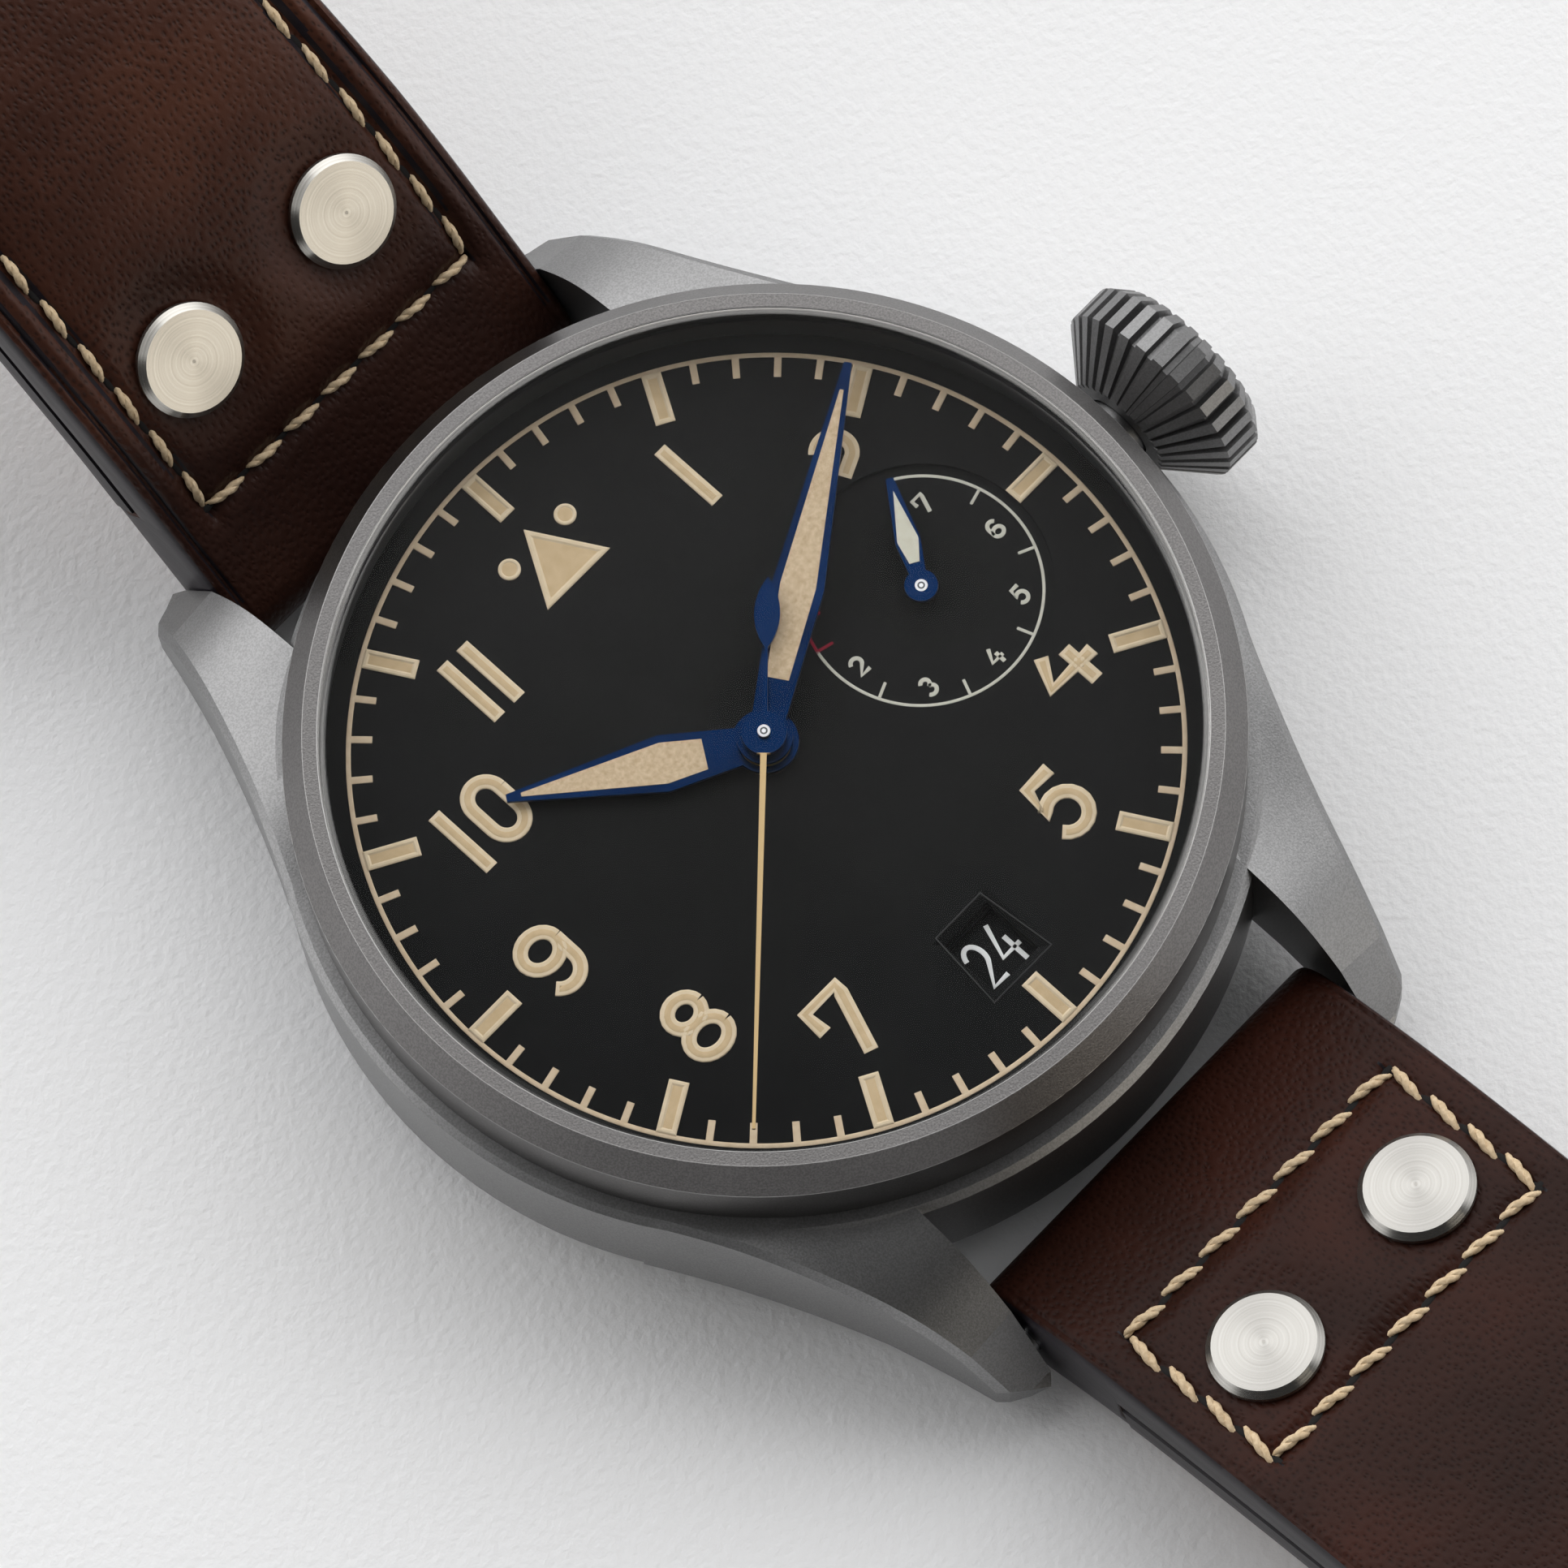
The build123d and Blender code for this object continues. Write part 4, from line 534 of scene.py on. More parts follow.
rim_lume = paste("rim_lume", (0.8, 0.655, 0.46), (0.71, 0.57, 0.375), 0.0005, 0.00001)
mark_lume = paste("mark_lume", (0.68, 0.51, 0.305), (0.59, 0.43, 0.245), 0.0005, 0.00001)
hand_lume = paste("hand_lume", (0.72, 0.56, 0.375), (0.54, 0.39, 0.235), 0.00024, 0.00003)
dress(hand_lume, "hour_hand_lume", "minute_hand_lume")

# %% [markdown]
# The hour bars, the triangle and its two dots are raised blocks with a rolled rim and a sunk middle. A
# primitive gives the outline, inset makes the rim, and moving the inner face down makes the trough.

# %% Bars at the hours
mark_high, rim_high, mark_sunk = 0.055 * mm, 0.03 * mm, 0.045 * mm
mark_level = dial_top + mark_high / 2


def trough(piece, rim_width, sunk):
    """A rolled rim round the top face, with the middle sunk below it and of its own material."""
    coat(piece, rim_lume, mark_lume)
    edit(piece, lambda face: face.normal.z > 0.9)
    bpy.ops.mesh.inset(thickness=rim_width * 0.4)
    bpy.ops.transform.translate(value=(0, 0, rim_high))
    bpy.ops.mesh.inset(thickness=rim_width * 0.6)
    bpy.ops.mesh.inset(thickness=rim_width * 0.5)
    bpy.ops.transform.translate(value=(0, 0, -sunk))
    piece.active_material_index = 1
    bpy.ops.object.material_slot_assign()
    leave_edit()


bar_long, bar_wide, bar_middle = 2.575 * mm, 0.95 * mm, 17.91 * mm
bpy.ops.object.select_all(action="DESELECT")
bpy.ops.mesh.primitive_cube_add(size=1, location=(0, bar_middle, mark_level))
bar = bpy.context.object
bar.scale = (bar_wide, bar_long, mark_high)
flatten(bar)
trough(bar, 0.17 * mm, mark_sunk)
mark_parts = [copy_at(bar, Matrix.Rotation(radians(30 * hour), 4, "Z")) for hour in range(1, 12)]
mark_parts.append(bar)
print("bars:", len(mark_parts))

# %% Triangle and dots
tip_y, base_y, base_half = 15.6 * mm, 12.0 * mm, 2.08 * mm
bpy.ops.object.select_all(action="DESELECT")
bpy.ops.mesh.primitive_cylinder_add(vertices=3, radius=base_half, depth=mark_high,
                                    location=(0, base_y, mark_level))
triangle = flatten(bpy.context.object)
for vertex in triangle.data.vertices:
    at_tip = abs(vertex.co.x) < base_half / 4
    vertex.co.y = tip_y if at_tip else base_y
    vertex.co.x = 0 if at_tip else (base_half if vertex.co.x > 0 else -base_half)
trough(triangle, 0.2 * mm, mark_sunk)
mark_parts.append(triangle)
dot_radius, dot_x, dot_y = 0.535 * mm, 1.86 * mm, 14.7 * mm
for side in (-1, 1):
    bpy.ops.object.select_all(action="DESELECT")
    bpy.ops.mesh.primitive_cylinder_add(vertices=32, radius=dot_radius, depth=mark_high,
                                        location=(side * dot_x, dot_y, mark_level))
    dot = flatten(bpy.context.object)
    trough(dot, 0.12 * mm, rim_high)
    mark_parts.append(dot)
marks = join("raised_hour_marks", mark_parts)
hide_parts("hour_marks")
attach(marks, "case")
print("hour marks:", len(marks.data.polygons), "faces")

# %% [markdown]
# Numerals and scales are strips of paste or ink. Each digit is a few centre lines in a box one unit high.
# A curve with a flat profile as its bevel object sweeps the strip, so every stroke has the same width and
# square ends, and the curve is then converted to a mesh.

# %% Digits as centre lines
def arc(x, y, wide, high, start, end, steps=14):
    """Points on part of an ellipse, angles in degrees."""
    angles = [radians(start + (end - start) * step / steps) for step in range(steps + 1)]
    return [(x + wide * cos(a), y + high * sin(a)) for a in angles]


digits = {
    "0": (0.56, [arc(0.28, 0.7, 0.28, 0.3, 0, 180) + arc(0.28, 0.3, 0.28, 0.3, 180, 360) + [(0.56, 0.7)]]),
    "1": (0.0, [[(0, -0.11), (0, 1.11)]]),
    "2": (0.64, [arc(0.32, 0.69, 0.32, 0.31, 165, -38) + [(0.02, 0.0), (0.68, 0.0)]]),
    "3": (0.6, [arc(0.28, 0.75, 0.26, 0.25, 155, -80), arc(0.28, 0.27, 0.31, 0.27, 80, -155)]),
    "4": (0.75, [[(0.42, 1.05), (0.0, 0.3), (0.8, 0.3)], [(0.55, 0.62), (0.55, -0.08)]]),
    "5": (0.62, [[(0.6, 1.0), (0.12, 1.0), (0.03, 0.52)] + arc(0.29, 0.33, 0.33, 0.33, 135, -150)]),
    "6": (0.64, [arc(0.32, 0.28, 0.32, 0.28, 180, 540, 22),
                 [(0.0, 0.28)] + arc(0.32, 0.66, 0.32, 0.34, 180, 35)]),
    "7": (0.64, [[(0.0, 0.58), (0.0, 1.0), (0.64, 1.0), (0.62, 0.85), (0.27, -0.11)]]),
    "8": (0.64, [arc(0.32, 0.77, 0.27, 0.24, 0, 360, 20), arc(0.32, 0.26, 0.33, 0.27, 0, 360, 22)]),
    "9": (0.64, [arc(0.32, 0.72, 0.32, 0.28, 0, 360, 22),
                 [(0.64, 0.72)] + arc(0.32, 0.33, 0.32, 0.33, 0, -145)]),
}
track_radius = 19.4
track = track_radius * mm


def digit_lines(number, x, y, high, narrow=1.0, gap=0.3):
    """Centre lines for a number centred on a point, in track radii. high is between centre lines."""
    wide = sum(digits[d][0] for d in number) + gap * (len(number) - 1)
    left, lines = -wide / 2, []
    for d in number:
        for line in digits[d][1]:
            lines.append([(x + (left + px) * high * narrow, y + (py - 0.5) * high) for px, py in line])
        left += digits[d][0] + gap
    return lines


print("digits drawn:", len(digits))

# %% Strips from centre lines
def strip(name, lines, width, height, z, material, body, closed=False, rolled=True):
    """Sweeps a flat profile along lines, given in track radii, and lays it on the dial."""
    half = width * track / 2
    edge = [(-half, 0), (-half, height * 0.7), (-half * 0.78, height)]
    middle = [(0, height * (0.7 if rolled else 1.0))]
    outline = edge + middle + [(-px, py) for px, py in reversed(edge)]
    shape = bpy.data.curves.new(name + "_profile", "CURVE")
    shape.dimensions = "2D"
    spline = shape.splines.new("POLY")
    spline.points.add(len(outline) - 1)
    for point, (px, py) in zip(spline.points, outline):
        point.co = (px, py, 0, 1)
    spline.use_cyclic_u = True
    profile = bpy.data.objects.new(name + "_profile", shape)
    scene.collection.objects.link(profile)
    curve = bpy.data.curves.new(name, "CURVE")
    curve.dimensions = "3D"
    curve.twist_mode = "Z_UP"
    curve.bevel_mode = "OBJECT"
    curve.bevel_object = profile
    curve.use_fill_caps = True
    for line in lines:
        row = curve.splines.new("POLY")
        row.points.add(len(line) - 1)
        for point, (px, py) in zip(row.points, line):
            point.co = (px * track, py * track, z, 1)
        row.use_cyclic_u = closed
    piece = bpy.data.objects.new(name, curve)
    scene.collection.objects.link(piece)
    only(piece)
    bpy.ops.object.convert(target="MESH")
    piece = bpy.context.object
    bpy.data.objects.remove(profile)
    edit(piece, lambda face: True)
    bpy.ops.mesh.normals_make_consistent(inside=False)
    leave_edit()
    coat(piece, material)
    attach(piece, body)
    return piece


# %% [markdown]
# The numerals are full digits, except the 4 and the 2: the subdial cuts them, so only their outer parts are
# drawn. A narrower strip of the darker lume lies on each numeral as its sunk middle, drawn in at the ends.

# %% Numerals
numeral_high, numeral_stroke, core_stroke = 0.158, 0.0365, 0.017
whole_digits = (("1", -0.38, 0.61), ("1", -0.3125, 0.61), ("1", 0.369, 0.61), ("1", -0.664, 0.36),
                ("0", -0.55, 0.36), ("9", -0.735, 0.0), ("8", -0.614, -0.364), ("7", -0.373, -0.611),
                ("5", 0.367, -0.613))
all_lines = []
for digit, x, y in whole_digits:
    all_lines += digit_lines(digit, x, y, numeral_high)
all_lines += [[(0.603, -0.33), (0.562, -0.404), (0.703, -0.404)], [(0.656, -0.355), (0.656, -0.464)]]
all_lines.append(arc(0.648, 0.393, 0.044, 0.044, 140, -55) + [(0.619, 0.332)])


def shortened(line, cut_off):
    """A line with both ends drawn in, unless it is closed."""
    first, last = Vector(line[0]), Vector(line[-1])
    if (first - last).length < 1e-6:
        return line
    start = first + (Vector(line[1]) - first).normalized() * cut_off
    end = last + (Vector(line[-2]) - last).normalized() * cut_off
    return [tuple(start)] + line[1:-1] + [tuple(end)]


numerals = strip("dial_numerals", all_lines, numeral_stroke, mark_high, dial_top, rim_lume, "case")
core_lines = [shortened(line, 0.009) for line in all_lines]
numeral_cores = strip("numeral_cores", core_lines, core_stroke, 0.056 * mm, dial_top, mark_lume, "case")
print("numerals:", len(numerals.data.polygons) + len(numeral_cores.data.polygons), "faces")

# %% Minute track
ink = paste("scale_ink", (0.75, 0.6, 0.42), (0.66, 0.5, 0.33), 0.0004, 0.000006)
ink_high = 0.03 * mm
ring_line = [[(0.9945 * cos(2 * pi * i / 180), 0.9945 * sin(2 * pi * i / 180)) for i in range(180)]]
strip("minute_ring", ring_line, 0.012, ink_high, dial_top, ink, "case", closed=True, rolled=False)
ticks = []
for minute in range(60):
    if minute % 5:
        a = 2 * pi * minute / 60
        ticks.append([(r * sin(a), r * cos(a)) for r in (0.938, 0.99)])
strip("minute_ticks", ticks, 0.0178, ink_high, dial_top, ink, "case", rolled=False)
print("minute ticks:", len(ticks))

# %% [markdown]
# The small scale in the sunk subdial is printed thinner, in a cooler white, and ends in a red zone on the
# left. The number in the date window is white on the date ring and moves with it.

# %% Subdial scale
reserve_x = 10.44
small_x = reserve_x / track_radius
small_floor = dial_top - 0.22 * mm
print_high, scale_stroke, scale_radius = 0.015 * mm, 0.0075, 0.292


def scale_marks(angles):
    """Short lines across the subdial's scale."""
    return [[(small_x + r * cos(radians(angle)), r * sin(radians(angle))) for r in (0.248, 0.29)]
            for angle in angles]


small_white = paste("small_print", (0.66, 0.64, 0.55), (0.58, 0.56, 0.47), 0.0003, 0.000004)
small_red = paste("red_print", (0.33, 0.01, 0.035), (0.27, 0.008, 0.028), 0.0003, 0.000004)
scale_lines = [arc(small_x, 0.0, scale_radius, scale_radius, 60, -195, 90)]
scale_lines += scale_marks((15, -25, -70, -113, -157))
strip("reserve_scale", scale_lines, scale_stroke, print_high, small_floor, small_white, "case", rolled=False)
small_numbers = (("7", 0.7, 0.15), ("6", 0.772, -0.022), ("5", 0.69, -0.18), ("4", 0.535, -0.243),
                 ("3", 0.372, -0.18), ("2", 0.297, -0.022))
number_lines = []
for digit, x, y in small_numbers:
    number_lines += digit_lines(digit, x, y, 0.044)
strip("reserve_digits", number_lines, 0.0105, print_high, small_floor, small_white, "case", rolled=False)
red_lines = [arc(small_x, 0.0, scale_radius, scale_radius, 166, 145, 12)] + scale_marks((165, 146))
strip("reserve_red", red_lines, scale_stroke, print_high, small_floor, small_red, "case", rolled=False)
print("subdial numbers:", len(small_numbers))

# %% Date number
date_white = paste("date_white", (0.86, 0.86, 0.84), (0.8, 0.8, 0.78), 0.0004, 0.000004)
date_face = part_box("date_ring")[1].z
date_lines = digit_lines("24", -0.002, -0.745, 0.115, narrow=0.62, gap=0.32)
strip("date_number", date_lines, 0.0125, print_high, date_face, date_white, "date", rolled=False)
print("date strokes:", len(date_lines))

# %% [markdown]
# A fine step frames the date window, wider at its foot. Below the dial a short black sleeve closes the
# window down to the date ring, so the ring's teeth don't show: it is painted shade, a dark sheet where the
# gap under the dial lies in shadow. A plate with a hole makes the sleeve: the face is inset, its middle
# deleted, and the rest extruded.

# %% Frame of the date window
frame_grey = finish("window_step", (0.03, 0.03, 0.03), Roughness=0.5, Specular_IOR_Level=0.3)
rough_surface(frame_grey, grain(frame_grey, 0.0001, 2), 0.000004, 0.4)
step_plan = [(-1.48, -12.17), (1.48, -12.17), (1.9, -16.25), (-1.9, -16.25)]
step_line = [[(px * mm / track, py * mm / track) for px, py in step_plan]]
strip("date_window_step", step_line, 0.0045, 0.02 * mm, dial_top, frame_grey, "case", closed=True,
      rolled=False)

# painted shade: the black sleeve stands for the shadow in the gap under the dial round the window
sleeve_low, sleeve_high = date_face + 0.03 * mm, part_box("dial")[0].z - 0.005 * mm
bpy.ops.object.select_all(action="DESELECT")
window_middle, sleeve_wall = -14.35 * mm, 0.3 * mm
bpy.ops.mesh.primitive_plane_add(size=mm, location=(0, window_middle, sleeve_low))
shade_sleeve = bpy.context.object
shade_sleeve.name = "date_window_shade"
shade_sleeve.scale = (3.4, 3.6, 1)
flatten(shade_sleeve)
edit(shade_sleeve, lambda face: True)
bpy.ops.mesh.inset(thickness=sleeve_wall)
bpy.ops.mesh.delete(type="FACE")
bpy.ops.mesh.select_all(action="SELECT")
extrude_up(sleeve_high - sleeve_low)
leave_edit()
coat(shade_sleeve, dial_black)
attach(shade_sleeve, "case")
print("window sleeve:", len(shade_sleeve.data.polygons), "faces")

# %% [markdown]
# Blued steel gets its colour from heat. It is a dark mirror that turns bright blue only where it mirrors the
# bright side of the tent, so the shader is metallic with a deep blue. The seconds hand and the small hand are
# one CAD node each, so masks made from the place on the hand separate the cream needle, the blued steel and
# the polished pivot. On the flat pivot light and shade are painted: a bright bevel and centre as painted
# highlights round a dark ring of painted shade.

# %% Masks along a hand
def hand_mask(material, angle, centre_x, start, end):
    """1 along a hand between two distances from its axis, 0 elsewhere. angle is clockwise from 12."""
    turned = radians(angle)
    shift = add(material, "VectorMath", operation="SUBTRACT")
    shift.inputs[1].default_value = (centre_x, 0, 0)
    wire(material, place_socket(material), shift.inputs[0])
    along = add(material, "VectorMath", operation="DOT_PRODUCT")
    along.inputs[1].default_value = (sin(turned), cos(turned), 0)
    wire(material, shift.outputs[0], along.inputs[0])
    after = sums(material, "GREATER_THAN", along.outputs["Value"], start)
    before = sums(material, "LESS_THAN", along.outputs["Value"], end)
    return sums(material, "MULTIPLY", after, before)


def disc_mask(material, centre_x, radius, above):
    """1 within a radius of a hand's axis and above a height."""
    split = add(material, "SeparateXYZ")
    wire(material, place_socket(material), split.inputs[0])
    shifted = sums(material, "SUBTRACT", split.outputs[0], centre_x)
    squares = sums(material, "ADD", sums(material, "MULTIPLY", shifted, shifted),
                   sums(material, "MULTIPLY", split.outputs[1], split.outputs[1]))
    inside = sums(material, "LESS_THAN", squares, radius * radius)
    return sums(material, "MULTIPLY", inside, sums(material, "GREATER_THAN", split.outputs[2], above))


# %% Blued hands
deep_blue = (0.0019, 0.017, 0.066)
pivot_radius = 0.3 * mm
# painted highlight and shade on the pivot's flat face: bright centre, dark ring, bright bevel
pivot_painted_greys = [(0.0, 0.75), (0.28, 0.7), (0.4, 0.04), (0.55, 0.12), (0.68, 0.7), (1.0, 0.5)]


def blued_finish(name):
    """Blued steel."""
    return finish(name, deep_blue, Metallic=1.0, Roughness=0.3)


def pivot_painted_light(material, centre_x):
    """The polished end of an arbor, painted on a flat face: a bright bevel and a bright centre as painted
    highlights, and a dark ring of painted shade.
    """
    shift = add(material, "VectorMath", operation="SUBTRACT")
    shift.inputs[1].default_value = (centre_x, 0, 0)
    wire(material, place_socket(material, scale=(1, 1, 0)), shift.inputs[0])
    size = add(material, "VectorMath", operation="LENGTH")
    wire(material, shift.outputs[0], size.inputs[0])
    across = sums(material, "MULTIPLY", size.outputs["Value"], 1 / pivot_radius)
    return ramp(material, across, pivot_painted_greys)


blued = blued_finish("blued_steel")
shade = grain(blued, 0.0035, 2)
wire(blued, ramp(blued, shade, [(0.3, (0.0012, 0.0095, 0.038)), (0.7, (0.0021, 0.018, 0.07))]),
     shader_of(blued).inputs["Base Color"])
rough_surface(blued, grain(blued, 0.0002, 2), 0.000004, 0.4)
dress(blued, "hour_hand", "minute_hand")

# %% Seconds hand and small hand
sweep = blued_finish("seconds_hand_finish")
sweep_degrees, needle_cream = 227.7, (0.68, 0.47, 0.21)
needle = hand_mask(sweep, sweep_degrees, 0, 1.0 * mm, 19.1 * mm)
sweep_pivot = disc_mask(sweep, 0, 0.31 * mm, 13.5 * mm)
sweep_tone = blend(sweep, needle, deep_blue, needle_cream)
sweep_tone = blend(sweep, sweep_pivot, sweep_tone, pivot_painted_light(sweep, 0))
wire(sweep, sweep_tone, shader_of(sweep).inputs["Base Color"])
wire(sweep, sums(sweep, "SUBTRACT", 1.0, needle), shader_of(sweep).inputs["Metallic"])
dress(sweep, "seconds_hand")

small = blued_finish("reserve_hand_finish")
small_pivot = disc_mask(small, reserve_x * mm, pivot_radius, 11.0 * mm)
small_tone = blend(small, small_pivot, deep_blue, pivot_painted_light(small, reserve_x * mm))
wire(small, small_tone, shader_of(small).inputs["Base Color"])
dress(small, "power_reserve_hand")
print("blued finishes:", blued.name, sweep.name, small.name)

# %% Lume of the small hand
small_lume = paste("small_hand_lume", (0.72, 0.7, 0.58), (0.64, 0.61, 0.49), 0.0003, 0.000006)
hand_turn = radians(31.0)
kite_shape = [(0.24, 1.15), (0.51, 2.3), (0.0, 4.85), (-0.51, 2.3), (-0.24, 1.15)]
kite_sunk, kite_high = 0.05 * mm, 0.065 * mm
kite_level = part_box("power_reserve_hand")[1].z - kite_sunk
bpy.ops.object.select_all(action="DESELECT")
bpy.ops.mesh.primitive_circle_add(vertices=len(kite_shape), radius=mm, fill_type="NGON")
reserve_lume = bpy.context.object
reserve_lume.name = "reserve_hand_lume"
for vertex, (px, py) in zip(reserve_lume.data.vertices, kite_shape):
    vertex.co = ((reserve_x + px * cos(hand_turn) + py * sin(hand_turn)) * mm,
                 (-px * sin(hand_turn) + py * cos(hand_turn)) * mm, kite_level)
edit(reserve_lume, lambda face: True)
extrude_up(kite_high)
leave_edit()
coat(reserve_lume, small_lume)
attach(reserve_lume, "reserve")
print("small lume:", len(reserve_lume.data.polygons), "faces")

# %% [markdown]
# The strap is the largest soft piece. Each half is two layers of leather, padded between the stitch lines,
# folded round the spring bar, and painted along its cut edges. A grid is laid along the half's side view
# and wrapped round its section: the crown of the padding, the stitch channels and the rounded edges are
# heights added to it. Both halves use one recipe with their own numbers.

# %% Side view of the strap halves
def strap_half(side, angle, legs, start_thick, end_thick):
    """What a half's side view needs: arcs from the spring bar outwards, lengths in mm."""
    return {"side": side, "angle": angle, "legs": legs, "length": sum(long for long, _ in legs),
            "thick": (start_thick, end_thick)}


upper_half = strap_half(1, 50.0, [(8.0, 0), (68.5, 42.0)], 5.8, 4.0)
lower_half = strap_half(-1, 28.0, [(8.4, 40.0), (103.6, 160.0)], 5.8, 3.2)
bar_y, bar_z = 26.4, 3.2
upper_wide, lower_wide, end_wide = 11.0, 10.8, 10.0


def thickness(half, along):
    """The half's thickness at a distance from the spring bar."""
    first, last = half["thick"]
    return first + (last - first) * min(max(along / half["length"], 0), 1)


def on_strap(half, x, along, above):
    """A point in metres: across, outwards from the bar, and above the half's middle surface."""
    out, up, angle = bar_y, bar_z, radians(half["angle"])
    left = max(along, 0)
    for long, radius in half["legs"]:
        step = min(left, long)
        if radius:
            out += radius * (sin(angle) - sin(angle - step / radius))
            up += radius * (cos(angle - step / radius) - cos(angle))
            angle -= step / radius
        else:
            out += step * cos(angle)
            up += step * sin(angle)
        left -= step
        if left <= 0:
            break
    extra = min(along, 0) + max(along - half["length"], 0)
    out += extra * cos(angle)
    up += extra * sin(angle)
    return Vector((x, half["side"] * (out - above * sin(angle)), up + above * cos(angle))) * mm


print("upper half ends at", [round(v / mm, 1) for v in on_strap(upper_half, 0, upper_half["length"], 0)])

# %% Wrapping a grid round a section
def arc_steps(points):
    """Distances in mm along a closed row of points."""
    values = [0.0]
    for first, second in zip(points, points[1:] + points[:1]):
        values.append(values[-1] + (second - first).length / mm)
    return values


def wrapped(name, stations, closed_path=False):
    """A tube through stations, each a ring of points, from one grid. The ends are filled."""
    around, count = len(stations[0]), len(stations)
    bpy.ops.object.select_all(action="DESELECT")
    rows = count + (1 if closed_path else 0)
    bpy.ops.mesh.primitive_grid_add(x_subdivisions=around, y_subdivisions=rows - 1, size=mm)
    piece = bpy.context.object
    piece.name = name
    piece.data.name = name
    for number, vertex in enumerate(piece.data.vertices):
        row, column = divmod(number, around + 1)
        vertex.co = stations[row % count][column % around]
    round_it = arc_steps(stations[count // 2])
    along_it = arc_steps([station[around // 4] for station in stations])
    for loop in piece.data.loops:
        row, column = divmod(loop.vertex_index, around + 1)
        piece.data.uv_layers[0].data[loop.index].uv = (round_it[column], along_it[row])
    edit(piece, lambda face: True)
    bpy.ops.mesh.remove_doubles(threshold=1e-7)
    bpy.ops.mesh.select_all(action="DESELECT")
    bpy.ops.mesh.select_mode(type="EDGE")
    bpy.ops.mesh.select_non_manifold(extend=False, use_wire=False, use_multi_face=False,
                                     use_non_contiguous=False, use_verts=False)
    if not closed_path:
        bpy.ops.mesh.edge_face_add()
    bpy.ops.mesh.select_all(action="SELECT")
    bpy.ops.mesh.normals_make_consistent(inside=False)
    leave_edit()
    return piece


# %% Section of the strap
def columns(fine):
    """Shares across the width from -1 to 1, closer together near the edges where the relief is."""
    flat = 0.72
    half = [step / 24 * flat for step in range(24)]
    half += [flat + 0.28 * step / fine for step in range(fine + 1)]
    return [-share for share in reversed(half[1:])] + half


def strap_section(half, along, wide, top, under, relief, rounding, fine=26):
    """One ring of points round a layer: over the top, down the right side, back below and up the left."""
    ring = []
    for share in columns(fine):
        x = wide * share
        past = max(abs(x) - (wide - rounding), 0)
        drop = rounding - sqrt(max(rounding**2 - past**2, 0))
        ring.append(on_strap(half, x, along, top - drop * 0.9 + relief(x, along)))
    lowest = min(rounding * 0.5, (top - under) * 0.3)
    flank = [top - rounding + (under + lowest - top + rounding) * share for share in (0.25, 0.55, 0.85)]
    ring += [on_strap(half, wide, along, level) for level in flank]
    for step in range(13):
        x = wide - 2 * wide * step / 12
        ring.append(on_strap(half, x * (1 - 0.015 * (abs(step - 6) == 6)), along, under))
    ring += [on_strap(half, -wide, along, level) for level in reversed(flank)]
    return ring


print("points across the top:", len(columns(26)))


# %% [markdown]
# The leather's relief is where the photograph's character is: the padding stands highest between the
# rivets and the stitch lines, each stitch line lies in a channel, and outside it a lip runs along the edge.
# The rivets press the padding down, so the relief fades round them.

# %% Relief of the padding
column_x, stitch_pitch = 8.75, 2.65
upper_row, lower_rows = 5.6, (5.8, 15.1)
rivet_half, rivet_reach = 5.07, 3.9
upper_rivets, lower_rivets = 11.9, 11.1
upper_padding, upper_channel, upper_row_channel, upper_crease = 0.62, 0.3, 0.34, 0.2
lip_high, lip_x, crease_x = 0.26, 9.7, 10.35
lower_padding, lower_channel, lower_crease = 0.34, 0.22, 0.14
upper_relief_ends, lower_relief_ends = 78, 108


def near(value, centre, width):
    """A soft bump of height 1."""
    return exp(-(((value - centre) / width) ** 2))


def pressed(x, along, rivets):
    """How far a rivet holds the leather down, 0 to 1."""
    distance = sqrt((abs(x) - rivet_half) ** 2 + (along - rivets) ** 2)
    return exp(-((distance / rivet_reach) ** 6))


def faded(along, last):
    """1 on a half, and 0 at its bar and from the last place on."""
    return max(0.0, min((along + 1.5) / 3, 1)) * max(0.0, min((last - along) / 6, 1))


def upper_relief(x, along):
    """The 12 o'clock half: padded all along between its two stitch columns."""
    inside = max(0.0, 1 - (abs(x) / column_x) ** 4)
    grown = 1 / (1 + exp(-(along - 7.0) * 1.6))
    crown = upper_padding * inside * grown * (1 - 0.35 * min(along / upper_half["length"], 1))
    crown *= 1 - pressed(x, along, upper_rivets)
    started = 1 if along > upper_row else exp(-(upper_row - along) ** 2)
    channel = upper_channel * near(abs(x), column_x, 0.42) * started
    channel += upper_row_channel * near(along, upper_row, 0.5) * (1 if abs(x) < column_x else 0)
    lip = lip_high * near(abs(x), lip_x, 0.42) * grown
    crease = upper_crease * near(abs(x), crease_x, 0.13)
    return (crown - channel + lip - crease) * faded(along, upper_relief_ends)


def lower_relief(x, along):
    """The 6 o'clock half: one padded box with a stitched line all round, then plain leather."""
    first, last = lower_rows
    inside = max(0.0, 1 - (abs(x) / column_x) ** 4)
    boxed = 1 / (1 + exp(-(along - first - 0.8) * 3)) / (1 + exp((along - last + 0.8) * 3))
    crown = lower_padding * inside * boxed * (1 - pressed(x, along, lower_rivets))
    in_box = first - 0.3 < along < last + 0.3
    channel = lower_channel * near(abs(x), column_x, 0.42) * (1 if in_box else 0)
    rows = near(along, first, 0.45) + near(along, last, 0.45)
    channel += lower_channel * rows * (1 if abs(x) < column_x else 0)
    narrowing = 0.5 * min(max(along, 0) / lower_half["length"], 1)
    crease = lower_crease * near(abs(x), crease_x - narrowing, 0.14)
    return (crown - channel - crease) * faded(along, lower_relief_ends)


print("relief at the middle of the upper half:", round(upper_relief(0, 30), 2), "mm")

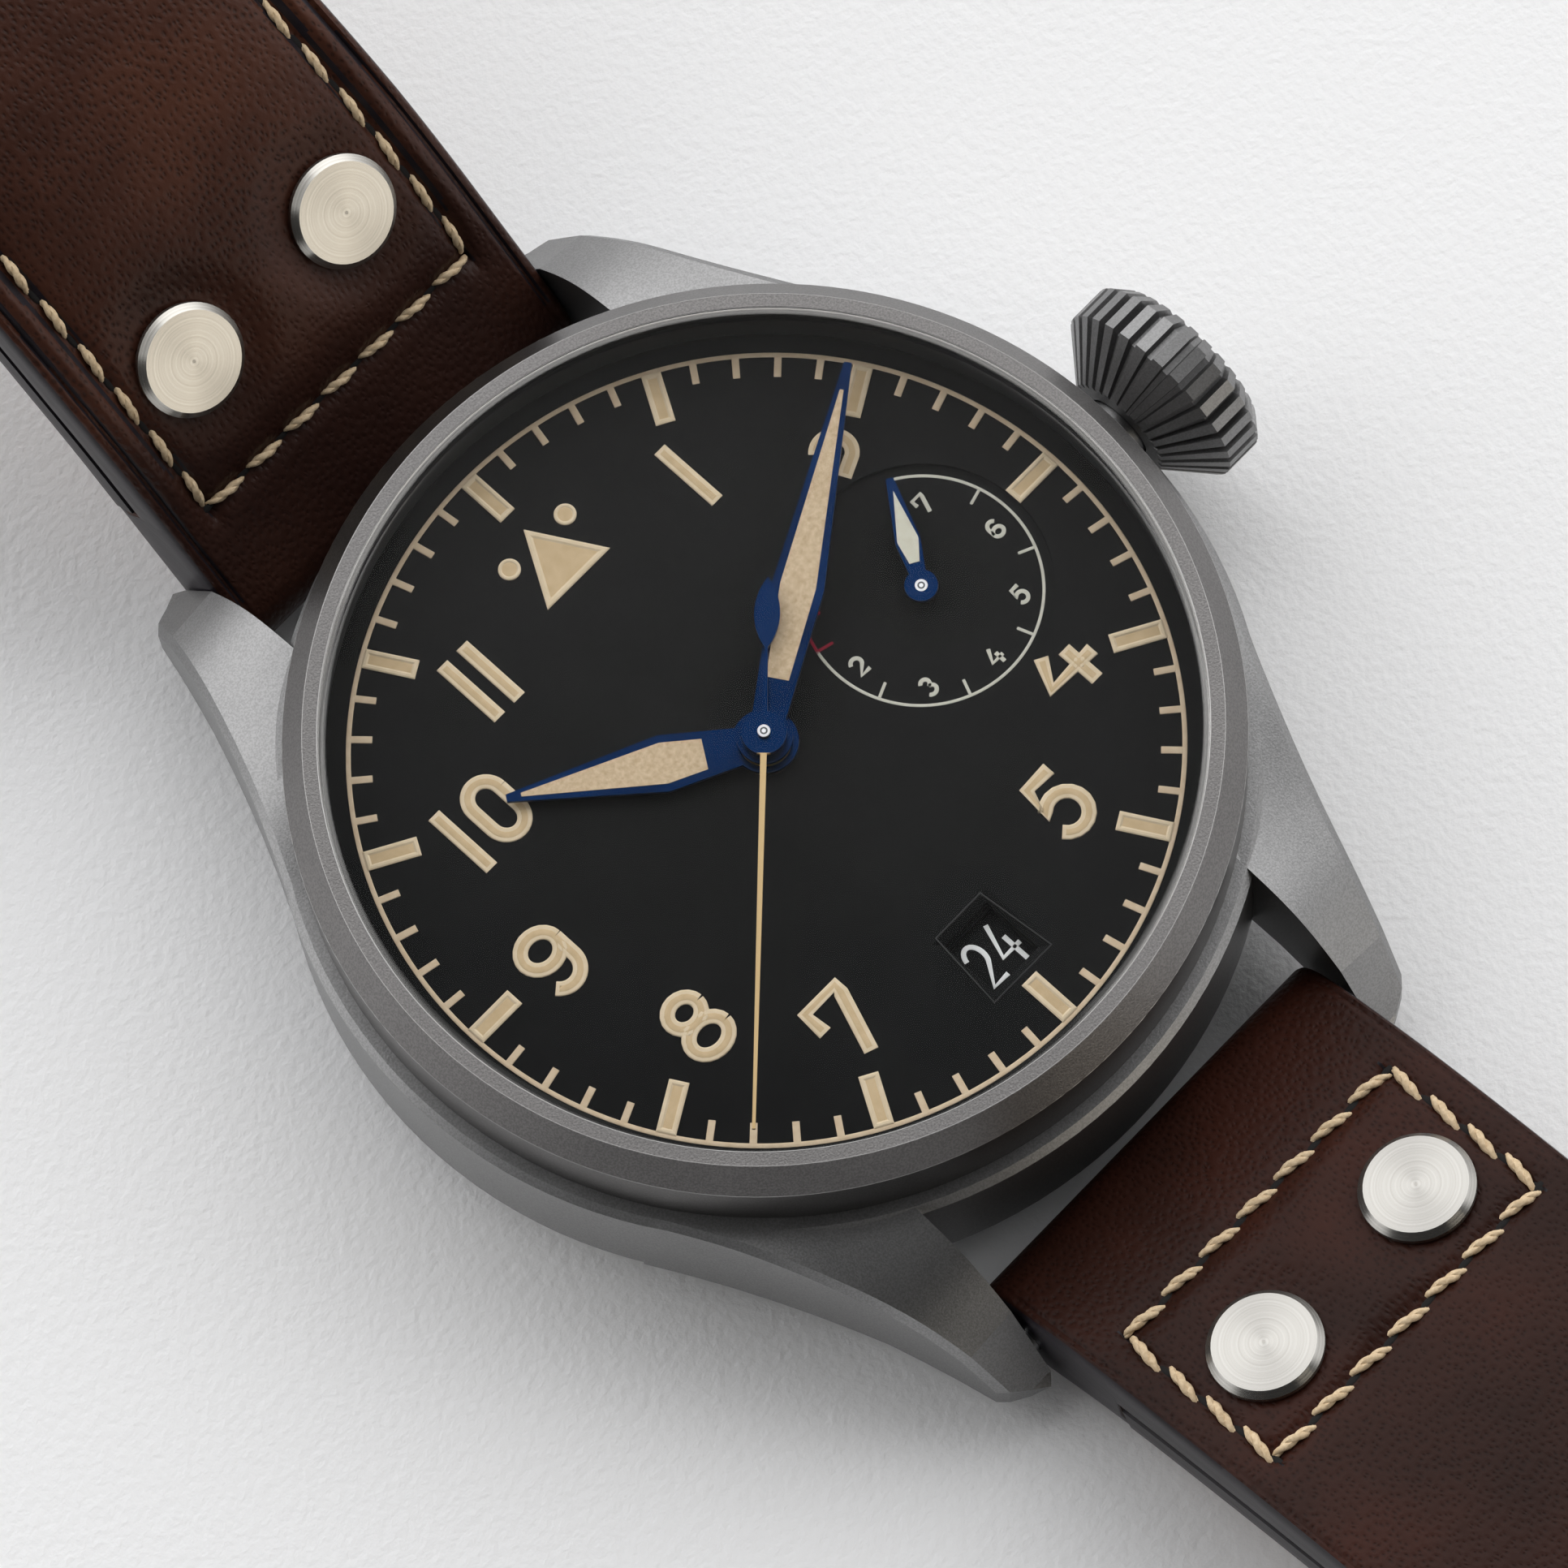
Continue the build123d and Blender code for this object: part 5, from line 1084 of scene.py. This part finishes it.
# %% [markdown]
# Leather needs three scales: clouds of red and dark brown from the dye, soft wrinkles, and the pores. The
# pores are the small dark pits of the photograph, Voronoi cells stretched a little along the strap. The
# lower half is smoother, shows more of the red and is painted about half as light: painted shade on the
# same leather.

# %% Recipe for leather
dye_cloud, pore_patch, wrinkle_size = 9 * mm, 4 * mm, 0.8 * mm
wrinkle_depth, puff_depth = 0.07 * mm, 0.05 * mm
wobble_share, pore_stretch = 0.16, 0.68
# painted shade: the near-black brown that the leather is mixed with next to the case
near_lug_shade = (0.012, 0.005, 0.0045)


def leather(name, dark, middle, warm, pore_size, pore_share, gloss, smooth_and_shade_to=0.0):
    """Dyed calf leather with pores and wrinkles. The mesh's UV map is in millimetres along its surface.

    Nearer to the watch's middle in Y than the last argument, it is stretched over the fold and smoother, and
    it is painted darker there: painted shade near the case.
    """
    material = finish(name, middle, Roughness=gloss, Specular_IOR_Level=0.17)
    cloud = grain(material, dye_cloud, 4)
    tone = ramp(material, cloud, [(0.28, dark), (0.5, middle), (0.76, warm)])
    surface = add(material, "TexCoord").outputs["UV"]
    wobble = add(material, "TexNoise", noise_dimensions="2D", Scale=0.8, Detail=2)
    wire(material, surface, wobble.inputs["Vector"])
    moved = add(material, "MixRGB", blend_type="LINEAR_LIGHT")
    moved.inputs[0].default_value = wobble_share
    wire(material, surface, moved.inputs[1])
    wire(material, wobble.outputs["Color"], moved.inputs[2])
    longer = add(material, "Mapping")
    longer.inputs["Scale"].default_value = (1.0, pore_stretch, 1.0)
    wire(material, moved.outputs[0], longer.inputs["Vector"])
    cells = add(material, "TexVoronoi", voronoi_dimensions="2D", Scale=1 / pore_size, Randomness=0.8)
    wire(material, longer.outputs[0], cells.inputs["Vector"])
    wide = ramp(material, grain(material, pore_patch, 3), [(0.35, 0.18), (0.65, 0.36)])
    deep = sums(material, "SUBTRACT", wide, cells.outputs["Distance"])
    pore = ramp(material, sums(material, "MULTIPLY_ADD", deep, 5.0, 0.25), [(0.0, 0.0), (1.0, 1.0)])
    shown = sums(material, "MULTIPLY", pore, pore_share)
    if smooth_and_shade_to:
        split = add(material, "SeparateXYZ")
        wire(material, place_socket(material), split.inputs[0])
        beyond = sums(material, "SUBTRACT", split.outputs[1], smooth_and_shade_to)
        past = sums(material, "MULTIPLY_ADD", beyond, 130.0, 0.5)
        open_and_unshaded = ramp(material, past, [(0.0, 0.0), (1.0, 1.0)])
        shown = sums(material, "MULTIPLY", shown, sums(material, "MULTIPLY_ADD", open_and_unshaded, 0.9, 0.1))
        # painted shade: the colour goes halfway to near-black where the leather lies next to the case
        shaded_near_lug = blend(material, 0.5, tone, near_lug_shade)
        tone = blend(material, open_and_unshaded, shaded_near_lug, tone)
    tone = blend(material, shown, tone, tuple(part * 0.3 for part in dark))
    wire(material, tone, shader_of(material).inputs["Base Color"])
    wrinkle = rough_surface(material, grain(material, wrinkle_size, 4), wrinkle_depth, 0.4)
    puffy = ramp(material, cells.outputs["Distance"], [(0.0, 0.0), (0.25, 0.6), (0.6, 1.0)])
    rough_surface(material, puffy, puff_depth, 0.7, wrinkle)
    return material


# %% Leather finishes
upper_leather = leather("upper_leather", (0.0305, 0.0108, 0.0067), (0.0535, 0.0193, 0.0118),
                        (0.08, 0.0295, 0.0172), 0.34, 0.5, 0.4, 31.0 * mm)
# painted shade: the 6 o'clock half is the same leather painted about half as light as the 12 o'clock half
lower_leather = leather("lower_leather", (0.018, 0.006, 0.0038), (0.028, 0.009, 0.0056),
                        (0.044, 0.0115, 0.0062), 0.32, 0.35, 0.44)
shader_of(lower_leather).inputs["Specular IOR Level"].default_value = 0.12
lining_leather = leather("lining_leather", (0.1, 0.052, 0.028), (0.15, 0.082, 0.046), (0.19, 0.105, 0.06),
                         0.45, 0.3, 0.6)
edge_paint = finish("edge_paint", (0.02, 0.017, 0.02), Roughness=0.36, Specular_IOR_Level=0.16)
edge_streak = grain(edge_paint, 0.0009, 3, place_socket(edge_paint, scale=(1, 0.12, 1)))
wire(edge_paint, ramp(edge_paint, edge_streak, [(0.3, (0.01, 0.008, 0.01)), (0.7, (0.022, 0.018, 0.023))]),
     shader_of(edge_paint).inputs["Base Color"])
rough_surface(edge_paint, edge_streak, 0.00004, 0.5)
print("leathers:", upper_leather.name, lower_leather.name, lining_leather.name)

# %% [markdown]
# The outer leather is one skin: it goes round the spring bar as a fold, and from the seam on it covers only
# the upper side, with the lining below it. The upper half has a second fold round the buckle bar, and the
# lower half ends in a point.

# %% Width and stations of a half
lining_thick, lining_starts = 2.0, 6.0
taper_starts, point_long, point_narrows = 14.0, 15, 6.5


def width_at(half, along):
    """Half the strap's width at a distance from the spring bar."""
    if half is upper_half:
        tapered = (along - taper_starts) / (upper_half["length"] - taper_starts)
        return upper_wide - (upper_wide - end_wide) * min(max(tapered, 0), 1)
    from_tip = half["length"] - along
    tapered = along / (half["length"] - point_long)
    wide = lower_wide - (lower_wide - end_wide) * min(max(tapered, 0), 1)
    if from_tip < point_long:
        share = 1 - max(from_tip, 0) / point_long
        wide = end_wide - point_narrows * share**2.1
    return wide


def stops(half, fine_to):
    """Distances along a half: close together where the stitch rows and rivets are."""
    values, at = [], 0.0
    while at < half["length"]:
        values.append(at)
        at += fine_step if at < fine_to else wide_step
    return values + [half["length"]]


fine_step, wide_step = 0.22, 0.9
upper_fine, lower_fine = 20, 18
print("stations:", len(stops(upper_half, upper_fine)), len(stops(lower_half, lower_fine)))

# %% Outer leather of both halves
edge_rounding = 0.5


def fold_ring(half, base, way, relief, step):
    """One ring of a fold round a bar: step 1 is near the bar and step 9 at the fold's outermost line."""
    a = radians(10 * step - 1)
    round_over = thickness(half, base) / 2
    level = round_over * cos(a)
    return strap_section(half, base + way * round_over * sin(a), width_at(half, base), level, -level, relief,
                         min(edge_rounding, level))


def outer_layer(name, half, relief, fine_to, folded_end):
    """The outer leather: full thickness at a fold, and down to the seam elsewhere."""
    rings = [fold_ring(half, 0, -1, relief, step) for step in range(9, 0, -1)]
    for along in stops(half, fine_to):
        whole = thickness(half, along)
        share = min(max((along - lining_starts + 0.1) / 0.2, 0), 1)
        if folded_end:
            share *= min(max((half["length"] - lining_starts - along + 0.1) / 0.2, 0), 1)
        under = -whole / 2 + (lining_thick + 0.015) * share
        rings.append(strap_section(half, along, width_at(half, along), whole / 2, under, relief,
                                   edge_rounding))
    if folded_end:
        rings += [fold_ring(half, half["length"], 1, relief, step) for step in range(1, 10)]
    return wrapped(name, rings)


upper_piece = outer_layer("upper_strap_leather", upper_half, upper_relief, upper_fine, True)
lower_piece = outer_layer("lower_strap_leather", lower_half, lower_relief, lower_fine, False)
print("strap faces:", len(upper_piece.data.polygons), len(lower_piece.data.polygons))

# %% Bores and holes in the leather
def cut(piece, cutters):
    """Takes cutters out of a piece and removes them."""
    for cutter in cutters:
        only(piece)
        modifier = piece.modifiers.new("cut", "BOOLEAN")
        modifier.operation = "DIFFERENCE"
        modifier.solver = "EXACT"
        modifier.object = cutter
        bpy.ops.object.modifier_apply(modifier=modifier.name)
        bpy.data.objects.remove(cutter)


def bar_cutter(half, along, radius):
    """A long rod across the strap, where a bar goes through its fold."""
    bpy.ops.object.select_all(action="DESELECT")
    bpy.ops.mesh.primitive_cylinder_add(vertices=32, radius=radius, depth=30 * mm,
                                        location=on_strap(half, 0, along, 0), rotation=(0, pi / 2, 0))
    return flatten(bpy.context.object)


def hole_cutters():
    """Rods square to the lower half's face, one at each buckle hole."""
    rods = []
    for along in hole_places:
        middle = on_strap(lower_half, 0, along, 0)
        normal = on_strap(lower_half, 0, along, 1) - middle
        bpy.ops.object.select_all(action="DESELECT")
        bpy.ops.mesh.primitive_cylinder_add(vertices=24, radius=hole_radius, depth=14 * mm, location=middle,
                                            rotation=normal.to_track_quat("Z", "Y").to_euler())
        rods.append(flatten(bpy.context.object))
    return rods


bar_bore, buckle_bore, hole_radius = 0.84 * mm, 0.8 * mm, 1.1 * mm
first_hole, hole_pitch, hole_count = 26.0, 6.5, 7
hole_places = [lower_half["length"] - first_hole - hole_pitch * number for number in range(hole_count)]
cut(upper_piece, [bar_cutter(upper_half, 0, bar_bore)])
cut(lower_piece, [bar_cutter(lower_half, 0, bar_bore)])
cut(upper_piece, [bar_cutter(upper_half, upper_half["length"], buckle_bore)])
cut(lower_piece, hole_cutters())
print("buckle holes:", len(hole_places))

# %% Lining of both halves
lining_rounding, lining_fine, lining_step = 0.14, 6, 1.2


def lining_layer(name, half, last):
    """The under layer, from the fold to its end."""
    rings, at = [], lining_starts + 0.15
    while at < last:
        under = -thickness(half, at) / 2
        rings.append(strap_section(half, at, width_at(half, at) - 0.02, lining_thick + under - 0.01, under,
                                   lambda x, along: 0.0, lining_rounding, lining_fine))
        at += lining_step
    return wrapped(name, rings)


upper_lining = lining_layer("upper_strap_lining", upper_half, upper_half["length"] - lining_starts)
lower_lining = lining_layer("lower_strap_lining", lower_half, lower_half["length"])
cut(lower_lining, hole_cutters())
print("linings:", len(upper_lining.data.polygons), len(lower_lining.data.polygons))

# %% Painted edges
point_from = 122 * mm


def paint_edges(piece, half, top_material, under_only=False):
    """Paint on the faces that look sideways, leather on the rest. A lining shows leather only below."""
    coat(piece, top_material, edge_paint)
    for face in piece.data.polygons:
        side = abs(face.normal.x) > 0.62
        if half is lower_half and abs(face.center.y) > point_from:
            side = abs(face.normal.x) > 0.35 or face.normal.y < -0.75
        face.material_index = 1 if side or (under_only and face.normal.z > -0.2) else 0


for piece, half, material in ((upper_piece, upper_half, upper_leather),
                              (lower_piece, lower_half, lower_leather),
                              (upper_lining, upper_half, lining_leather),
                              (lower_lining, lower_half, lining_leather)):
    paint_edges(piece, half, material, material is lining_leather)
    smooth(piece)
    print(piece.name, "painted faces:", sum(face.material_index for face in piece.data.polygons))

# %% Strap pieces in the model
for piece, node, body, fill in ((upper_piece, "strap_short", "strap_upper", 0.55),
                                (lower_piece, "strap_long", "strap_lower", 0.35),
                                (upper_lining, "strap_short_lining", "strap_upper", 0.2),
                                (lower_lining, "strap_long_lining", "strap_lower", 0.2)):
    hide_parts(node)
    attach(piece, body)
    print(piece.name, "stands for", node)

# %% [markdown]
# A stitch is a short length of twisted thread that dives into the leather at both ends. One is modelled
# from two strands wound round each other, and then copied along each line, each copy with its own mesh.
# Between two stitches a flat black drop stands for the needle's hole: painted shade, where the hole lies in
# shadow.

# %% Thread
stitch_turns, stitch_arch, stitch_sunk, stitch_lift = 1.5, 0.32, 0.18, 0.06
thread = paste("cream_thread", (0.76, 0.6, 0.4), (0.55, 0.4, 0.24), 0.0002, 0.00002)
# painted shade: the needle holes are black drops laid on the leather
painted_hole_shade = finish("needle_hole_shade", (0.004, 0.003, 0.003), Roughness=0.9)
rough_surface(painted_hole_shade, grain(painted_hole_shade, 0.0003), 0.00002, 0.4)


def one_stitch(name, long, thick):
    """Two strands wound round each other on a low arch, along X, centred on the origin."""
    curve = bpy.data.curves.new(name, "CURVE")
    curve.dimensions = "3D"
    curve.bevel_depth = thick * 0.34 * mm
    curve.bevel_resolution = 1
    curve.use_fill_caps = True
    for strand in (0, 1):
        row = curve.splines.new("POLY")
        row.points.add(14)
        for number, point in enumerate(row.points):
            share = number / 14
            around = 2 * pi * stitch_turns * share + pi * strand
            slim = 0.45 + 0.55 * sin(pi * share) ** 0.5
            off = thick * 0.17 * slim
            raised = stitch_arch * (1 - (2 * share - 1) ** 2) - stitch_sunk
            point.co = ((share - 0.5) * long * mm, off * cos(around) * mm,
                        (raised + off * sin(around)) * mm, 1)
            point.radius = slim
    piece = bpy.data.objects.new(name, curve)
    scene.collection.objects.link(piece)
    only(piece)
    bpy.ops.object.convert(target="MESH")
    return bpy.context.object


def needle_hole_shade(name):
    """A flat black drop that sits in the leather between two stitches: painted shade of the needle's hole."""
    bpy.ops.object.select_all(action="DESELECT")
    bpy.ops.mesh.primitive_uv_sphere_add(segments=10, ring_count=6, radius=mm)
    piece = bpy.context.object
    piece.name = name
    piece.scale = (0.5, 0.19, 0.07)
    return flatten(piece)


# %% Sewing
def strap_matrix(half, x, along, above, turned):
    """Stands a piece on the strap's face: its X turned from across towards outwards, by degrees."""
    origin = on_strap(half, x, along, above)
    up = (on_strap(half, x, along, above + 1) - origin).normalized()
    outward = (on_strap(half, x, along + 0.05, above) - origin).normalized()
    across = outward.cross(up).normalized()
    along_x = across * cos(radians(turned)) + outward * sin(radians(turned))
    side = up.cross(along_x)
    return Matrix.Translation(origin) @ Matrix((along_x, side, up)).transposed().to_4x4()


def sewn(name, half, relief, places, long, thick, slant, body):
    """Stitches, and needle holes as drops of painted shade, at (x, along, direction in degrees)."""
    stitch = one_stitch(name + "_one", long, thick)
    hole = needle_hole_shade(name + "_hole")
    threads, holes = [], []
    for x, along, direction in places:
        above = thickness(half, along) / 2 + relief(x, along)
        lifted = strap_matrix(half, x, along, above + stitch_lift, direction + slant)
        threads.append(copy_at(stitch, lifted))
        step = stitch_pitch / 2
        gap_x = x - step * cos(radians(direction)) * half["side"]
        gap_along = along + step * sin(radians(direction))
        gap_above = thickness(half, gap_along) / 2 + relief(gap_x, gap_along)
        holes.append(copy_at(hole, strap_matrix(half, gap_x, gap_along, gap_above, direction)))
    bpy.data.objects.remove(stitch)
    bpy.data.objects.remove(hole)
    for label, group, material in (("_thread", threads, thread), ("_holes", holes, painted_hole_shade)):
        piece = join(name + label, group)
        coat(piece, material)
        smooth(piece, 60)
        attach(piece, body)
    return len(threads)


# %% Stitches of the upper half
row_count, column_count, column_lean = 7, 25, 0.006
row_xs = [column_x * (-1 + (2 * number + 1) / row_count) for number in range(row_count)]
upper_places = [(x, upper_row, 0.0) for x in row_xs]
for number in range(column_count):
    for side in (-1, 1):
        along = upper_row + stitch_pitch * (number + 0.5)
        upper_places.append((side * (column_x - column_lean * along), along, 90.0))
sewn_count = sewn("upper_stitches", upper_half, upper_relief, upper_places, 2.3, 0.52, -6, "strap_upper")
print("upper stitches:", sewn_count)

# %% Stitches of the lower half
first_row, last_row = lower_rows
lower_places = [(x, row, 0.0) for x in row_xs for row in lower_rows]
box_step = (last_row - first_row) / 4
for number in range(4):
    for side in (-1, 1):
        lower_places.append((side * column_x, first_row + box_step * (number + 0.5), 90.0))
sewn_count = sewn("lower_stitches", lower_half, lower_relief, lower_places, 2.42, 0.56, -12, "strap_lower")
print("lower stitches:", sewn_count)

# %% [markdown]
# The loops are bands of the same leather, 6 mm wide, bent round the strap with rounded corners. Each is a
# closed path in the strap's cross direction, with a soft rectangular section swept along it.

# %% Loops
loop_long, loop_wall, loop_half_wide = 5.9, 1.3, 11.3
loop_outline = ((-0.5, 0.12), (-0.44, 0.0), (0.44, 0.0), (0.5, 0.12), (0.5, 0.88), (0.44, 1.0), (0.2, 1.07),
                (-0.2, 1.07), (-0.44, 1.0), (-0.5, 0.88))


def loop_point(along, x, above, forward):
    """A point near the strap, forward along the straight direction at that place."""
    centre = on_strap(upper_half, 0, along, 0)
    up = on_strap(upper_half, 0, along, 1) - centre
    outward = (on_strap(upper_half, 0, along + 0.05, 0) - centre).normalized() * mm
    return centre + Vector((x * mm, 0, 0)) + up * above + outward * forward


def leather_loop(name, back, low, high, node, body):
    """A leather band round the strap at a distance back from the buckle bar."""
    along = upper_half["length"] - back
    path = []
    for side, level, corner, start in ((1, high, 1.6, 0), (-1, high, 1.6, 90), (-1, low, 0.5, 180),
                                       (1, low, 0.5, 270)):
        cx = side * (loop_half_wide - corner)
        cz = level + (corner if level == low else -corner)
        for step in range(7):
            a = radians(start + 15 * step)
            path.append((cx + corner * cos(a), cz + corner * sin(a), cos(a), sin(a)))
    rings = []
    for px, pz, nx, nz in path:
        rings.append([loop_point(along, px + nx * loop_wall * sz, pz + nz * loop_wall * sz, sx * loop_long)
                      for sx, sz in loop_outline])
    piece = wrapped(name, rings, closed_path=True)
    coat(piece, upper_leather, edge_paint)
    centre = on_strap(upper_half, 0, along, 0)
    outward = (on_strap(upper_half, 0, along + 0.05, 0) - centre).normalized()
    for face in piece.data.polygons:
        face.material_index = 1 if abs(face.normal.dot(outward)) > 0.8 else 0
    smooth(piece, 35)
    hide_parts(node)
    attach(piece, body)
    return piece


for name, node, body, back in (("fixed_leather_loop", "fixed_loop", "strap_upper", 12.0),
                               ("free_leather_loop", "free_loop", "keeper", 31.85)):
    half_thick = thickness(upper_half, upper_half["length"] - back) / 2
    loop = leather_loop(name, back, -half_thick - 0.45, half_thick + 4.5, node, body)
    print(name, len(loop.data.polygons), "faces")

# %% [markdown]
# The rivets are turned from steel: fine rings round a centre dot on the flat face and a bright bevel. The
# rings follow the distance from the nearer rivet's axis, so one material serves a whole node. Such grooves
# blur a reflection outwards and not round, so the shader's tangent points away from that axis.

# %% Recipe for turned steel
groove_size, centre_dot = 0.11 * mm, 0.09 * mm


def turned_face(name, places, normal, depth, dark, light):
    """Steel with fine rings round each of some axes."""
    material = finish(name, (0.5, 0.48, 0.45), Metallic=1.0, Roughness=0.26, Anisotropic=0.8)
    source = place_socket(material)
    distances, outwards = [], []
    for place in places:
        away = add(material, "VectorMath", operation="SUBTRACT")
        away.inputs[1].default_value = place
        wire(material, source, away.inputs[0])
        crossed = add(material, "VectorMath", operation="CROSS_PRODUCT")
        crossed.inputs[1].default_value = normal
        wire(material, away.outputs[0], crossed.inputs[0])
        size = add(material, "VectorMath", operation="LENGTH")
        wire(material, crossed.outputs[0], size.inputs[0])
        distances.append(size.outputs["Value"])
        outwards.append(away.outputs[0])
    nearest = sums(material, "MINIMUM", *distances)
    second_nearer = sums(material, "LESS_THAN", distances[1], distances[0])
    spoke = add(material, "Mix", data_type="VECTOR")
    wire(material, second_nearer, spoke.inputs[0])
    wire(material, outwards[0], spoke.inputs[4])
    wire(material, outwards[1], spoke.inputs[5])
    turned_spoke = add(material, "VectorTransform", vector_type="VECTOR", convert_from="OBJECT",
                       convert_to="WORLD")
    wire(material, spoke.outputs[1], turned_spoke.inputs[0])
    spoke_way = add(material, "VectorMath", operation="NORMALIZE")
    wire(material, turned_spoke.outputs[0], spoke_way.inputs[0])
    wire(material, spoke_way.outputs[0], shader_of(material).inputs["Tangent"])
    joined = add(material, "CombineXYZ")
    wire(material, nearest, joined.inputs[0])
    marks_noise = grain(material, groove_size, 3, joined.outputs[0])
    rough_surface(material, marks_noise, depth, 0.5)
    tone = ramp(material, marks_noise, [(0.3, dark), (0.7, light)])
    dot = sums(material, "LESS_THAN", nearest, centre_dot)
    wire(material, blend(material, dot, tone, (0.3, 0.29, 0.27)), shader_of(material).inputs["Base Color"])
    return material


# %% Rivets and buckle
# painted light and shade: the four rivets are one steel, the upper pair painted lighter and warmer, the lower
# pair darker
upper_rivet_lit_greys = ((0.44, 0.42, 0.385), (0.56, 0.545, 0.51))
lower_rivet_shaded_greys = ((0.31, 0.3, 0.28), (0.4, 0.39, 0.37))
for node, half, along, depth, greys in (
        ("strap_short_rivets", upper_half, upper_rivets, 0.00001, upper_rivet_lit_greys),
        ("strap_long_rivets", lower_half, lower_rivets, 0.000018, lower_rivet_shaded_greys)):
    places = [on_strap(half, side * rivet_half, along, 0) for side in (-1, 1)]
    axis = (on_strap(half, 0, along, 1) - on_strap(half, 0, along, 0)).normalized()
    dress(turned_face(node + "_steel", places, axis, depth, *greys), node)
buckle_steel = round_cut("satin_buckle", (0.55, 0.54, 0.52), 0.3, 0.00001, "X", 0.0003)
dress(buckle_steel, "buckle_frame", "buckle_bar", "buckle_tongue")
print("rivets and buckle finished")
